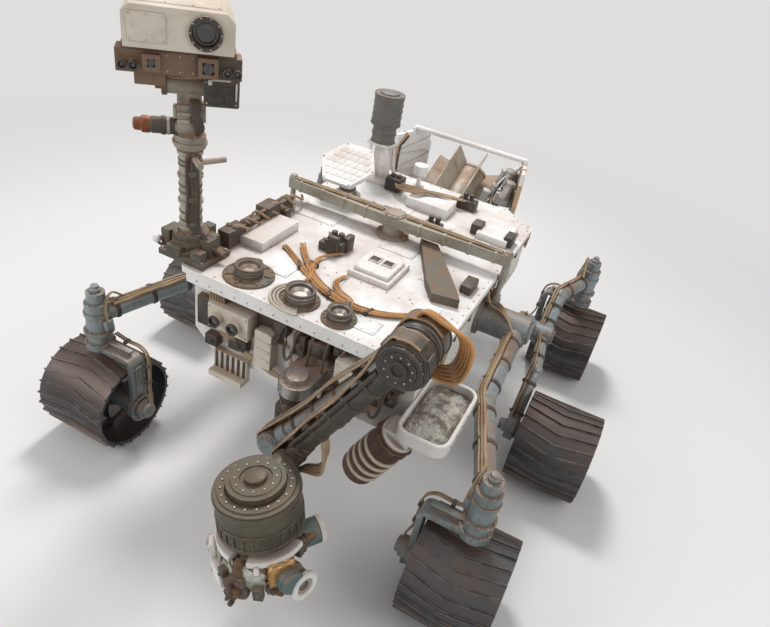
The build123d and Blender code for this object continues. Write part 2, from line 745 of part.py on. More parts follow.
# Close-up camera in a square bracket
with BuildPart() as scope:
    strut(tool_point(72, turret_radius + 30, 0), tool_point(72, scope_reach - 40, 0), 48)
    strut(tool_point(72, scope_reach - 40, 0), tool_point(72, scope_reach, 0), 34)
    strut(tool_point(72, scope_reach - 12, 0), tool_point(72, scope_reach + 1, 0), 22, mode=Mode.SUBTRACT)
save(scope.part, "close_camera")

# Spectrometer can with a ring nose
with BuildPart() as can:
    strut(tool_point(144, turret_radius + 30, 0), tool_point(144, scope_reach - 22, 0), 46)
    strut(tool_point(144, scope_reach - 22, 0), tool_point(144, scope_reach, 0), 36)
    strut(tool_point(144, scope_reach - 10, 0), tool_point(144, scope_reach + 1, 0), 24, mode=Mode.SUBTRACT)
save(can.part, "spectrometer")

# Brush: a short drive with a ring of bristles
with BuildPart() as brush:
    strut(tool_point(216, turret_radius + 30, 0), tool_point(216, scope_reach - 40, 0), 30)
    strut(tool_point(216, scope_reach - 40, 0), tool_point(216, scope_reach - 6, 0), 38)
    strut(tool_point(216, scope_reach - 20, 0), tool_point(216, scope_reach - 5, 0), 20, mode=Mode.SUBTRACT)
save(brush.part, "brush")

# Sieve chamber and scoop
with BuildPart() as sieve:
    strut(tool_point(288, turret_radius + 30, 0), tool_point(288, scope_reach - 50, 0), 52)
    strut(tool_point(288, scope_reach - 58, 30), tool_point(288, scope_reach - 58, 92), 34)
    strut(tool_point(288, scope_reach - 50, -20), tool_point(288, scope_reach - 4, -20), 24)
save(sieve.part, "sieve")

# Power unit: a finned drum held out behind the chassis, tilted up
tilt = radians(power_tilt)
power_dir = Vector(0, cos(tilt), sin(tilt))
power_start = Vector(0, chassis_back + power_gap, power_z)
power_plane = Plane(origin=power_start, x_dir=(1, 0, 0), z_dir=power_dir)
with BuildPart() as power_unit:
    with BuildSketch(power_plane) as section:
        Circle(power_radius)
        with PolarLocations(fin_reach / 2, fin_count, start_angle=22.5):
            Rectangle(fin_reach, fin_thickness)
    extrude(section.sketch, amount=power_length)
    strut(tuple(power_start - power_dir * 60), tuple(power_start), 70)
    power_end = power_start + power_dir * power_length
    strut(tuple(power_end), tuple(power_end + power_dir * 14), power_radius - 30)
save(power_unit.part, "power_unit")

# Frame that carries it: two side beams and a cross plate behind the chassis
with BuildPart() as rear_frame:
    plate_back = power_start - power_dir * (60 + joint_gap)
    with BuildSketch(Plane(origin=plate_back, x_dir=(1, 0, 0), z_dir=-power_dir)):
        RectangleRounded(300, 200, 30)
    extrude(amount=18)
    for sign in (-1, 1):
        for level in (-60, 60):
            far = plate_back - power_dir * 9
            foot_z = power_z - 60 + level * 1.5
            block((sign * 230, chassis_back + 10, foot_z), (60, 20, 60))
            strut((sign * 230, chassis_back + 18, foot_z), (sign * 110, far.Y, far.Z + level), 17)
save(rear_frame.part, "rear_frame")

# Heat exchanger plates on both sides of the power unit, closer together at the rear, each on two stand-offs
exchanger_middle = chassis_back + exchanger_start + exchanger_width / 2
exchanger_centre = exchanger_x + exchanger_thickness / 2
for name, sign in sides:
    with BuildPart() as plate:
        with BuildSketch(Plane.YZ.offset(sign * exchanger_centre - exchanger_thickness / 2)) as face:
            with Locations((exchanger_middle, exchanger_z)):
                Rectangle(exchanger_width, exchanger_height)
            chamfer(face.vertices().group_by(Axis.Y)[0], 90)
            chamfer(face.vertices().group_by(Axis.Y)[-1].sort_by(Axis.X)[-1], 120)
        extrude(face.sketch, amount=exchanger_thickness)
    upright_line = Axis((sign * exchanger_centre, exchanger_middle, 0), (0, 0, 1))
    standoff_at = exchanger_width / 2 - 60
    standoff_x = sign * (exchanger_centre + standoff_at * sin(radians(exchanger_toe)))
    standoff_y = exchanger_middle - standoff_at * cos(radians(exchanger_toe))
    with BuildPart() as exchanger:
        add(plate.part.rotate(upright_line, sign * exchanger_toe))
        for level in (-70, 70):
            strut((standoff_x, chassis_back, power_z + level), (standoff_x, standoff_y, power_z + level), 11)
    save(exchanger.part, f"heat_exchanger_{name}")

# Bridge: a tube across the tops of the two plates
with BuildPart() as bridge:
    bridge_z = exchanger_z + exchanger_height / 2 + bridge_radius
    bridge_half = exchanger_x + exchanger_thickness - 4
    across(-bridge_half, bridge_half, exchanger_middle, bridge_z, bridge_radius)
    for sign in (-1, 1):
        with Locations(Location((sign * exchanger_centre, exchanger_middle, bridge_z - bridge_radius / 2),
                                (0, 0, sign * exchanger_toe))):
            Box(exchanger_thickness - 4, 60, bridge_radius)
save(bridge.part, "exchanger_bridge")

# Dish: base drum, pan stem with a cross axle, hexagonal plate at a slant
with BuildPart() as dish_base:
    upright(dish_x, dish_y, deck_top, dish_base_top, 58)
    upright(dish_x, dish_y, deck_top, deck_top + 14, 82)
save(dish_base.part, "dish_base")

with BuildPart() as dish_yoke:
    upright(dish_x, dish_y, dish_base_top + joint_gap, dish_base_top + 40, 46)
    block((dish_x, dish_y, (dish_base_top + 40 + dish_z) / 2), (44, 50, dish_z - dish_base_top - 40))
    across(dish_x - 35, dish_x + 35, dish_y, dish_z, 30)
save(dish_yoke.part, "dish_yoke")

slant = Plane(origin=(dish_x, dish_y, dish_z)).rotated((dish_rest_tilt, 0, 0))
with BuildPart() as dish:
    for sign in (-1, 1):
        inner = dish_x + sign * (35 + joint_gap)
        across(inner, inner + sign * 14, dish_y, dish_z, 30)
        with BuildSketch(slant.offset(0)) as ear:
            with Locations((sign * (35 + joint_gap + 7), 0)):
                Rectangle(14, 44)
        extrude(ear.sketch, amount=dish_ear)
    with BuildSketch(slant.offset(dish_ear)) as plate:
        RegularPolygon(dish_across / 2, 6)
    extrude(plate.sketch, amount=dish_thickness)
save(dish.part, "dish")

# Relay antenna: a stepped can on a slanted bracket
with BuildPart() as relay:
    upright(can_x, can_y, can_floor, can_floor + can_neck_height, can_neck_radius)
    upright(can_x, can_y, can_floor + can_neck_height, can_floor + can_neck_height + can_height, can_radius)
save(relay.part, "relay_antenna")

with BuildPart() as relay_bracket:
    block((can_x, can_y, can_floor - 8), (150, 130, 16))
    block((can_x + 20, can_y - 10, deck_top + 8), (220, 150, 16))
    for reach_x in (-52, 52):
        for reach_y in (-44, 44):
            strut((can_x + 20 + reach_x * 1.6, can_y - 10 + reach_y, deck_top + 8),
                  (can_x + reach_x, can_y + reach_y, can_floor - 8), 11)
    block((can_x + 10, can_y + 20, (deck_top + can_floor) / 2), (104, 14, can_floor - deck_top - 20))
save(relay_bracket.part, "relay_bracket")

with BuildPart() as low_gain:
    upright(-160, middle_axle_y + 760, deck_top, deck_top + 90, 14)
    upright(-160, middle_axle_y + 760, deck_top + 90, deck_top + 150, 44)
    upright(-160, middle_axle_y + 760, deck_top, deck_top + 12, 40)
save(low_gain.part, "low_gain_antenna")
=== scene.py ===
from math import cos, pi, radians, sin, tau

import bmesh
import bpy
import numpy as np
from mathutils import Matrix, Vector


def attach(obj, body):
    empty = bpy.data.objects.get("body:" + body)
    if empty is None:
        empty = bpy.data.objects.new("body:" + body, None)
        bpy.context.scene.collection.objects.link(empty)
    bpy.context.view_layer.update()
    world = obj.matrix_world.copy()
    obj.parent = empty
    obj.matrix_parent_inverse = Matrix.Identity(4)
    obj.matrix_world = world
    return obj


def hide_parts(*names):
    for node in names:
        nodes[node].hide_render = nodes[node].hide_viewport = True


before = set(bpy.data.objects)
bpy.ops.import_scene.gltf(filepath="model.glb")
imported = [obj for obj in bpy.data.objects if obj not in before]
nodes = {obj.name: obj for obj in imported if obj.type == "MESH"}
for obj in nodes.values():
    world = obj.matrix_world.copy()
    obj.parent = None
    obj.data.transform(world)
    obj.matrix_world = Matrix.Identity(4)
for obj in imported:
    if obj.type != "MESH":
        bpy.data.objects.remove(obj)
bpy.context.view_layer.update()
ROVER_MIDDLE_Y = 0.1288
scene = bpy.context.scene


# Camera: the photograph's station, aim and lens

CAMERA_PLACE = (1.111, ROVER_MIDDLE_Y - 2.857, 2.694)
CAMERA_TURN, CAMERA_DROP, CAMERA_ROLL = radians(20.1), radians(33.9), radians(11.0)
CAMERA_LENS, SENSOR_WIDTH = 29.7, 36.0

aim = Vector((-sin(CAMERA_TURN) * cos(CAMERA_DROP), cos(CAMERA_TURN) * cos(CAMERA_DROP), -sin(CAMERA_DROP)))
level_right = aim.cross(Vector((0, 0, 1))).normalized()
level_up = level_right.cross(aim)
right = level_right * cos(CAMERA_ROLL) + level_up * sin(CAMERA_ROLL)
up = level_up * cos(CAMERA_ROLL) - level_right * sin(CAMERA_ROLL)
camera_data = bpy.data.cameras.new("photo_camera")
camera_data.lens = CAMERA_LENS
camera_data.sensor_width = SENSOR_WIDTH
camera_data.clip_end = 100
camera = bpy.data.objects.new("photo_camera", camera_data)
scene.collection.objects.link(camera)
camera.matrix_world = Matrix.Translation(CAMERA_PLACE) @ Matrix((right, up, -aim)).transposed().to_4x4()
scene.camera = camera
scene.view_settings.view_transform = "Standard"


# Shader sockets with arithmetic

class Wire:
    """One output of a shader node. Arithmetic on it adds Math nodes; node() adds any other node."""

    def __init__(self, tree, socket=None):
        self.tree = tree
        self.socket = socket

    def node(self, kind, settings=(), out=0, **inputs):
        """A node of that kind: its settings, then its inputs by name (or i0, i1 for a number)."""
        made = self.tree.nodes.new(kind)
        for name, value in dict(settings).items():
            setattr(made, name, value)
        for name, value in inputs.items():
            key = int(name[1:]) if name[1:].isdigit() else name.replace("_", " ")
            if isinstance(value, Wire):
                self.tree.links.new(value.socket, made.inputs[key])
            else:
                made.inputs[key].default_value = value
        return Wire(self.tree, made.outputs[out])

    def math(self, operation, *values, clamp=False):
        inputs = {f"i{index}": value for index, value in enumerate(values)}
        return self.node("ShaderNodeMath", {"operation": operation, "use_clamp": clamp}, **inputs)

    def __add__(self, other):
        return self.math("ADD", self, other)

    def __radd__(self, other):
        return self.math("ADD", other, self)

    def __sub__(self, other):
        return self.math("SUBTRACT", self, other)

    def __rsub__(self, other):
        return self.math("SUBTRACT", other, self)

    def __mul__(self, other):
        return self.math("MULTIPLY", self, other)

    def __rmul__(self, other):
        return self.math("MULTIPLY", other, self)

    def clamp(self):
        return self.math("ADD", self, 0.0, clamp=True)

    def step(self, low, high):
        """0 below low, 1 above high, smooth between."""
        return self.node("ShaderNodeMapRange", {"interpolation_type": "SMOOTHSTEP"}, Value=self,
                         From_Min=low, From_Max=high)

    def mix(self, under, over):
        """The colour over where this is 1 and under where it is 0."""
        def four(colour):
            return colour if isinstance(colour, Wire) else (*colour, 1)
        return self.node("ShaderNodeMix", {"data_type": "RGBA"}, out=2, i0=self, i6=four(under),
                         i7=four(over))

    def noise(self, scale, detail=4.0, rough=0.55, stretch=(1, 1, 1)):
        """Cloudy noise on the object's own coordinates, 0 to 1."""
        place = self.node("ShaderNodeTexCoord", out="Object")
        if stretch != (1, 1, 1):
            place = self.node("ShaderNodeMapping", Vector=place, Scale=stretch)
        return self.node("ShaderNodeTexNoise", out="Fac", Vector=place, Scale=scale, Detail=detail,
                         Roughness=rough)


def new_material(name):
    """An empty node material: its wire and its shader node, linked to the output."""
    material = bpy.data.materials.new(name)
    material.use_nodes = True
    tree = material.node_tree
    shader = tree.nodes["Principled BSDF"]
    return (material, Wire(tree), shader)


def feed(wire, shader, **values):
    """Sets or links the shader's sockets by name."""
    for name, value in values.items():
        socket = shader.inputs[name.replace("_", " ")]
        if isinstance(value, Wire):
            wire.tree.links.new(value.socket, socket)
        else:
            socket.default_value = value


DUST = (0.36, 0.175, 0.085)
PALE_DUST = (0.47, 0.27, 0.15)
# Painted shade: the near-black colour laid into corners, hollows and contacts between parts
HOLLOW_SHADE = (0.035, 0.028, 0.024)
RUBBED_EDGE = 0.0025


def dusty(name, colour, second, rough, metal, dust, wear, blotch, bare=(0.55, 0.54, 0.52), grain=0.25,
          scale=1.0, streaks=0.0):
    """A finish in layers: the coat with a second tone in clouds, rubbed edges showing what is under it,
    painted shade darkening corners, hollows and contacts (ambient occlusion), and red-brown dust that lies
    on faces that look up and in hollows."""
    material, wire, shader = new_material(name)
    clouds = wire.noise(3.2 * scale, 6.0, 0.62)
    spots = wire.noise(19 * scale, 5.0, 0.6)
    fine = wire.noise(160 * scale, 3.0, 0.5)
    upright = wire.node("ShaderNodeTexCoord", out="Normal")
    facing = wire.node("ShaderNodeSeparateXYZ", out="Z", Vector=upright)
    rounded = wire.node("ShaderNodeBevel", {"samples": 4}, Radius=RUBBED_EDGE)
    plain = wire.node("ShaderNodeNewGeometry", out="Normal")
    agree = wire.node("ShaderNodeVectorMath", {"operation": "DOT_PRODUCT"}, out="Value",
                      i0=rounded, i1=plain)
    edges = (1.0 - agree).step(0.015, 0.12)
    # Painted shade: ambient occlusion marks corners, hollows and contacts between parts; this mask darkens
    # them and also lays dust there
    open_sky = wire.node("ShaderNodeAmbientOcclusion", {"samples": 6}, out="AO", Distance=0.09)
    hollow_shade_and_dust = (1.0 - open_sky).step(0.12, 0.75)
    clouded = (clouds.step(0.4, 0.66) * blotch + spots.step(0.52, 0.72) * (0.6 * blotch)).clamp()
    coat = clouded.mix(colour, second)
    worn = (edges * spots.step(0.38, 0.58) * wear).clamp()
    coat = worn.mix(coat, bare)
    # Painted shade: the hollows darkened towards a near-black colour
    coat = (hollow_shade_and_dust * 0.5 * (0.5 + 0.5 * clouds)).mix(coat, HOLLOW_SHADE)
    if streaks:
        runs = wire.noise(1.0, 5.0, 0.6, stretch=(46, 46, 2.2)).step(0.5, 0.72) * streaks
        coat = runs.mix(coat, tuple(0.35 * part for part in DUST))
    lying = (facing.step(0.1, 0.9) * clouds.step(0.34, 0.62) * 0.9 + hollow_shade_and_dust * 0.75
             + spots.step(0.5, 0.75) * 0.45)
    dust_mask = (lying * dust).clamp()
    coat = dust_mask.mix(coat, fine.step(0.3, 0.7).mix(DUST, PALE_DUST))
    roughness = (rough + 0.22 * (fine - 0.5) + dust_mask * (0.92 - rough) - worn * 0.12).clamp()
    bumps = fine * grain + spots * 0.5 + dust_mask * 0.4
    bump = wire.node("ShaderNodeBump", Strength=0.35, Distance=0.0012, Height=bumps, Normal=rounded)
    if metal:
        metallic = metal * (1.0 - dust_mask)
    else:
        metallic = worn * (1.0 - dust_mask) if wear else 0.0
    feed(wire, shader, Base_Color=coat, Roughness=roughness, Metallic=metallic, Normal=bump)
    return material


# columns: name, colour, second tone, roughness, metal, dust, wear, blotches, then what isn't the default
WHITE = dusty("dusty_white_paint", (0.8, 0.78, 0.74), (0.6, 0.54, 0.47), 0.55, 0.0, 0.3, 0.5, 0.3)
DECK_WHITE = dusty("deck_white_paint", (0.86, 0.85, 0.83), (0.64, 0.58, 0.5), 0.5, 0.0, 0.3, 0.5, 0.28)
BEIGE = dusty("beige_head_paint", (0.66, 0.6, 0.5), (0.5, 0.42, 0.32), 0.6, 0.0, 0.35, 0.45, 0.5)
TAN = dusty("tan_anodised", (0.2, 0.13, 0.08), (0.085, 0.055, 0.038), 0.5, 0.4, 0.3, 0.6, 0.6)
GREY_TUBE = dusty("blue_grey_tube", (0.25, 0.3, 0.31), (0.1, 0.115, 0.105), 0.42, 0.5, 0.42, 0.7, 0.7,
                  streaks=0.5)
MAST_GREY = dusty("mast_grey", (0.4, 0.37, 0.3), (0.17, 0.15, 0.115), 0.5, 0.3, 0.42, 0.6, 0.7)
BAR_GREY = dusty("bar_grey", (0.36, 0.34, 0.28), (0.15, 0.13, 0.1), 0.5, 0.3, 0.42, 0.6, 0.6)
DARK = dusty("dark_coat", (0.036, 0.032, 0.027), (0.085, 0.072, 0.052), 0.5, 0.0, 0.2, 0.6, 0.6,
             bare=(0.35, 0.33, 0.3))
DRUM = dusty("drum_olive", (0.11, 0.1, 0.068), (0.036, 0.031, 0.023), 0.5, 0.4, 0.24, 0.7, 0.8)
WHEEL = dusty("wheel_metal", (0.085, 0.085, 0.088), (0.04, 0.041, 0.044), 0.38, 0.7, 0.17, 0.8, 0.6,
              bare=(0.42, 0.41, 0.4))
BARE = dusty("bare_metal", (0.5, 0.49, 0.47), (0.26, 0.25, 0.24), 0.35, 0.9, 0.4, 0.5, 0.5)
FINNED = dusty("finned_paint", (0.5, 0.46, 0.39), (0.3, 0.23, 0.16), 0.5, 0.2, 0.52, 0.5, 0.5)


def jacket(name, colour, second, dust=0.35):
    """A cable jacket: its colour in uneven lengths, with dust on top and a fine weave in the bump."""
    return dusty(name, colour, second, 0.55, 0.0, dust, 0.0, 0.7, scale=3.0, grain=0.6)


TAN_CABLE = jacket("tan_cable_jacket", (0.4, 0.29, 0.17), (0.2, 0.13, 0.075))
ORANGE_CABLE = jacket("orange_cable_jacket", (0.55, 0.27, 0.085), (0.34, 0.15, 0.05), dust=0.15)
BLACK_CABLE = jacket("black_cable_jacket", (0.055, 0.045, 0.038), (0.12, 0.085, 0.06))
DARK_RIBBON = jacket("dark_ribbon", (0.085, 0.066, 0.05), (0.17, 0.12, 0.08))
BLACK = dusty("black_coat", (0.018, 0.016, 0.015), (0.04, 0.035, 0.03), 0.45, 0.0, 0.1, 0.2, 0.3,
              bare=(0.2, 0.19, 0.18))
BLUE_GREY = dusty("blue_grey_coat", (0.1, 0.185, 0.185), (0.07, 0.09, 0.085), 0.45, 0.3, 0.28, 0.5, 0.6)
CAN_GREY = dusty("can_grey", (0.16, 0.155, 0.14), (0.09, 0.085, 0.075), 0.5, 0.3, 0.3, 0.5, 0.4)
COPPER = dusty("copper_coat", (0.3, 0.095, 0.035), (0.12, 0.038, 0.018), 0.45, 0.6, 0.25, 0.6, 0.7,
               bare=(0.6, 0.28, 0.15))
FOIL = dusty("gold_foil", (0.52, 0.32, 0.13), (0.34, 0.17, 0.055), 0.34, 0.7, 0.25, 0.5, 0.6,
             bare=(0.85, 0.66, 0.36), scale=2.5)
PALE_FOIL = dusty("pale_foil", (0.62, 0.65, 0.56), (0.26, 0.29, 0.23), 0.42, 0.25, 0.22, 0.6, 0.95,
                  bare=(0.75, 0.74, 0.68), scale=4.0)
TOOL_BROWN = dusty("tool_brown", (0.13, 0.075, 0.045), (0.05, 0.03, 0.02), 0.5, 0.3, 0.35, 0.6, 0.6)
OLIVE = dusty("olive_cover", (0.115, 0.112, 0.085), (0.055, 0.052, 0.04), 0.6, 0.2, 0.35, 0.6, 0.8,
              bare=(0.42, 0.41, 0.37), scale=3.0)
PALE_CORD = dusty("pale_cord", (0.62, 0.58, 0.5), (0.42, 0.37, 0.29), 0.6, 0.0, 0.2, 0.2, 0.5)
BARREL_BROWN = dusty("barrel_brown", (0.125, 0.06, 0.038), (0.055, 0.028, 0.02), 0.5, 0.3, 0.4, 0.5, 0.6)
# Painted highlight: the pale colour given to the barrel's hoops stands for light on their ribs
RIB_HIGHLIGHT_PALE = dusty("pale_stripe", (0.7, 0.6, 0.45), (0.46, 0.36, 0.24), 0.5, 0.0, 0.2, 0.4, 0.4)
TAN_EDGE = dusty("tan_edge", (0.55, 0.38, 0.23), (0.36, 0.22, 0.12), 0.55, 0.0, 0.35, 0.4, 0.5)
SILVER = dusty("silver_fittings", (0.68, 0.67, 0.64), (0.36, 0.34, 0.31), 0.35, 0.7, 0.2, 0.4, 0.6)
SPECKLED = dusty("speckled_bed", (0.62, 0.6, 0.53), (0.16, 0.14, 0.105), 0.8, 0.0, 0.12, 0.3, 0.95,
                 scale=6.0, grain=0.8)


def window_glass(name):
    """Dark coated glass, smooth with a thin film of dust in clouds."""
    material, wire, shader = new_material(name)
    film = wire.noise(22, 4.0).step(0.45, 0.75)
    colour = (film * 0.5).mix((0.02, 0.016, 0.018), (0.16, 0.09, 0.05))
    feed(wire, shader, Base_Color=colour, Roughness=(0.06 + 0.5 * film).clamp(), Coat_Weight=1.0,
         Coat_Roughness=0.03)
    return material


GLASS = window_glass("window_glass")

# The library slot of each finish, where a piece names no other; piece() works it out but does not set it on
# the object. The rest are dark_paint
slot_table = (("dark_aluminium", (WHEEL, GREY_TUBE, DRUM)),
              ("bare_aluminium", (BARE, BAR_GREY, MAST_GREY, OLIVE, SILVER, TAN_EDGE)),
              ("white_paint", (WHITE, DECK_WHITE, BEIGE, PALE_CORD, PALE_FOIL, RIB_HIGHLIGHT_PALE, SPECKLED)))
finish_slots = {finish.name: slot for slot, finishes in slot_table for finish in finishes}


# columns: start of the node's name, finish
finish_table = (
    ("wheel_", WHEEL), ("knuckle_", GREY_TUBE), ("rocker_", GREY_TUBE), ("bogie_", GREY_TUBE),
    ("chassis", WHITE), ("belly_pan", BARE), ("deck_boxes", DECK_WHITE), ("deck", DECK_WHITE),
    ("differential_bar", BAR_GREY), ("exchanger_bridge", DECK_WHITE), ("sample_inlets", BARE),
    ("cable_duct", OLIVE), ("target_disc", DARK), ("front_boxes", BEIGE), ("corner_tray", WHITE),
    ("mast_foot", OLIVE), ("mast_tube", MAST_GREY), ("mast_neck", MAST_GREY), ("head_frame", TAN),
    ("laser_box", BEIGE), ("camera_bar", TAN), ("shoulder_bracket", BARE), ("shoulder", DRUM),
    ("upper_arm", GREY_TUBE), ("forearm", DARK), ("wrist", DRUM), ("turret_hub", DARK),
    ("drill", TOOL_BROWN), ("close_camera", BARE), ("spectrometer", BLUE_GREY), ("brush", BARE),
    ("sieve", BARE), ("power_unit", FINNED), ("rear_frame", GREY_TUBE), ("heat_exchanger_", DECK_WHITE),
    ("dish_base", BAR_GREY), ("dish_yoke", BARE), ("dish", DECK_WHITE), ("relay_antenna", CAN_GREY),
    ("relay_bracket", WHITE), ("low_gain_antenna", WHITE)
)
for node_name, node in nodes.items():
    finish = next(material for start, material in finish_table if node_name.startswith(start))
    node.data.materials.clear()
    node.data.materials.append(finish)


# Stage: a pale floor and soft light

FLOOR_SIZE = 60
floor_mesh = bpy.data.meshes.new("floor")
floor_mesh.from_pydata([(-FLOOR_SIZE, -FLOOR_SIZE, 0), (FLOOR_SIZE, -FLOOR_SIZE, 0),
                        (FLOOR_SIZE, FLOOR_SIZE, 0), (-FLOOR_SIZE, FLOOR_SIZE, 0)], [], [(0, 1, 2, 3)])
floor = bpy.data.objects.new("floor", floor_mesh)
scene.collection.objects.link(floor)
floor_material, floor_wire, floor_shader = new_material("pale_floor")
feed(floor_wire, floor_shader, Base_Color=(0.8, 0.78, 0.76, 1), Roughness=0.9, Specular_IOR_Level=0.1)
floor_mesh.materials.append(floor_material)


def seen_directly(wire):
    """1 for rays from the camera, also in gloss or through glass, and 0 for the light on the object."""
    rays = (wire.node("ShaderNodeLightPath", out=f"Is {kind} Ray")
            for kind in ("Camera", "Glossy", "Transmission"))
    return sum(rays, wire.node("ShaderNodeValue") * 0.0).clamp()


# Far from the rover the floor turns into the same pale grey as the background
BACKGROUND = (0.74, 0.73, 0.72, 1)
FADE_START, FADE_END = 2.4, 6.5
from_rover = floor_wire.node("ShaderNodeVectorMath", {"operation": "LENGTH"}, out="Value",
                             i0=floor_wire.node("ShaderNodeTexCoord", out="Object"))
far_floor = floor_wire.node("ShaderNodeEmission", Color=BACKGROUND, Strength=1.0)
far_share = from_rover.step(FADE_START, FADE_END) * seen_directly(floor_wire)
near_floor = Wire(floor_wire.tree, floor_shader.outputs[0])
floor_mix = floor_wire.node("ShaderNodeMixShader", i0=far_share, i1=near_floor, i2=far_floor)
floor_wire.tree.links.new(floor_mix.socket, floor_wire.tree.nodes["Material Output"].inputs["Surface"])

world = bpy.data.worlds.new("studio")
scene.world = world
world.use_nodes = True
sky = Wire(world.node_tree)
sky_light = sky.node("ShaderNodeBackground", Color=(0.95, 0.97, 1.0, 1), Strength=0.46)
sky_seen = sky.node("ShaderNodeBackground", Color=BACKGROUND, Strength=1.0)
sky_mix = sky.node("ShaderNodeMixShader", i0=seen_directly(sky), i1=sky_light, i2=sky_seen)
world.node_tree.links.new(sky_mix.socket, world.node_tree.nodes["World Output"].inputs["Surface"])


def soft_lamp(name, place, target, size, power):
    """A square area lamp at place, aimed at target."""
    lamp = bpy.data.lights.new(name, "AREA")
    lamp.size = size
    lamp.energy = power
    lamp_object = bpy.data.objects.new(name, lamp)
    scene.collection.objects.link(lamp_object)
    lamp_object.location = place
    direction = Vector(target) - Vector(place)
    lamp_object.rotation_euler = direction.to_track_quat("-Z", "Y").to_euler()


soft_lamp("key_lamp", (-1.6, 2.6, 6.4), (0, 0, 0.7), 1.6, 285)
soft_lamp("front_lamp", (-3.4, -4.4, 4.0), (0, 0, 0.7), 2.6, 110)
soft_lamp("side_lamp", (5.0, -1.0, 3.6), (0, 0, 0.8), 3.0, 70)


# Shapes worked out as arrays

UP, DOWN, AHEAD = (0, 0, 1), (0, 0, -1), (0, -1, 0)
SIDES = (("left", 1), ("right", -1))
CHASSIS_FRONT, CHASSIS_BACK, CHASSIS_HALF = -0.86, 0.84, 0.58
DECK_TOP, DECK_HALF, DECK_FRONT, DECK_BACK, DECK_CUT = 1.12, 0.62, -0.92, 0.88, 0.19
MAST_X, MAST_Y, HEAD_PAN = -0.65, -0.8, radians(40)


def place(x, y, z):
    """A point with y counted from the middle axle."""
    return np.array((x, ROVER_MIDDLE_Y + y, z), float)


def on_front(x, out, z):
    """A point in front of the chassis, out from its front face."""
    return place(x, CHASSIS_FRONT - out, z)


def on_deck(x, y, above=0):
    """A point above the deck."""
    return place(x, y, DECK_TOP + above)


def by_mast(x, y, z):
    """A point with x and y counted from the mast's axis."""
    return place(MAST_X + x, MAST_Y + y, z)


def on_side(side):
    """The place function of the rover's left, where side is 1, or of its right, where side is -1."""
    return lambda x, y, z: place(side * x, y, z)


def unit(vector):
    """The vector at length one, along the last axis."""
    vector = np.asarray(vector, float)
    return vector / np.linalg.norm(vector, axis=-1, keepdims=True)


def cross_frame(axis):
    """Two directions square to the axis and to each other: its cross product with the world axis that it
    leans on least, and the cross product of the two."""
    axis = unit(axis)
    least = np.eye(3)[np.argmin(np.abs(axis), axis=-1)]
    first = unit(np.cross(axis, least))
    return (first, np.cross(axis, first))


def rays(angle, first, second):
    """Directions at the angles, counted from the first direction towards the second."""
    return np.cos(angle)[..., None] * first + np.sin(angle)[..., None] * second


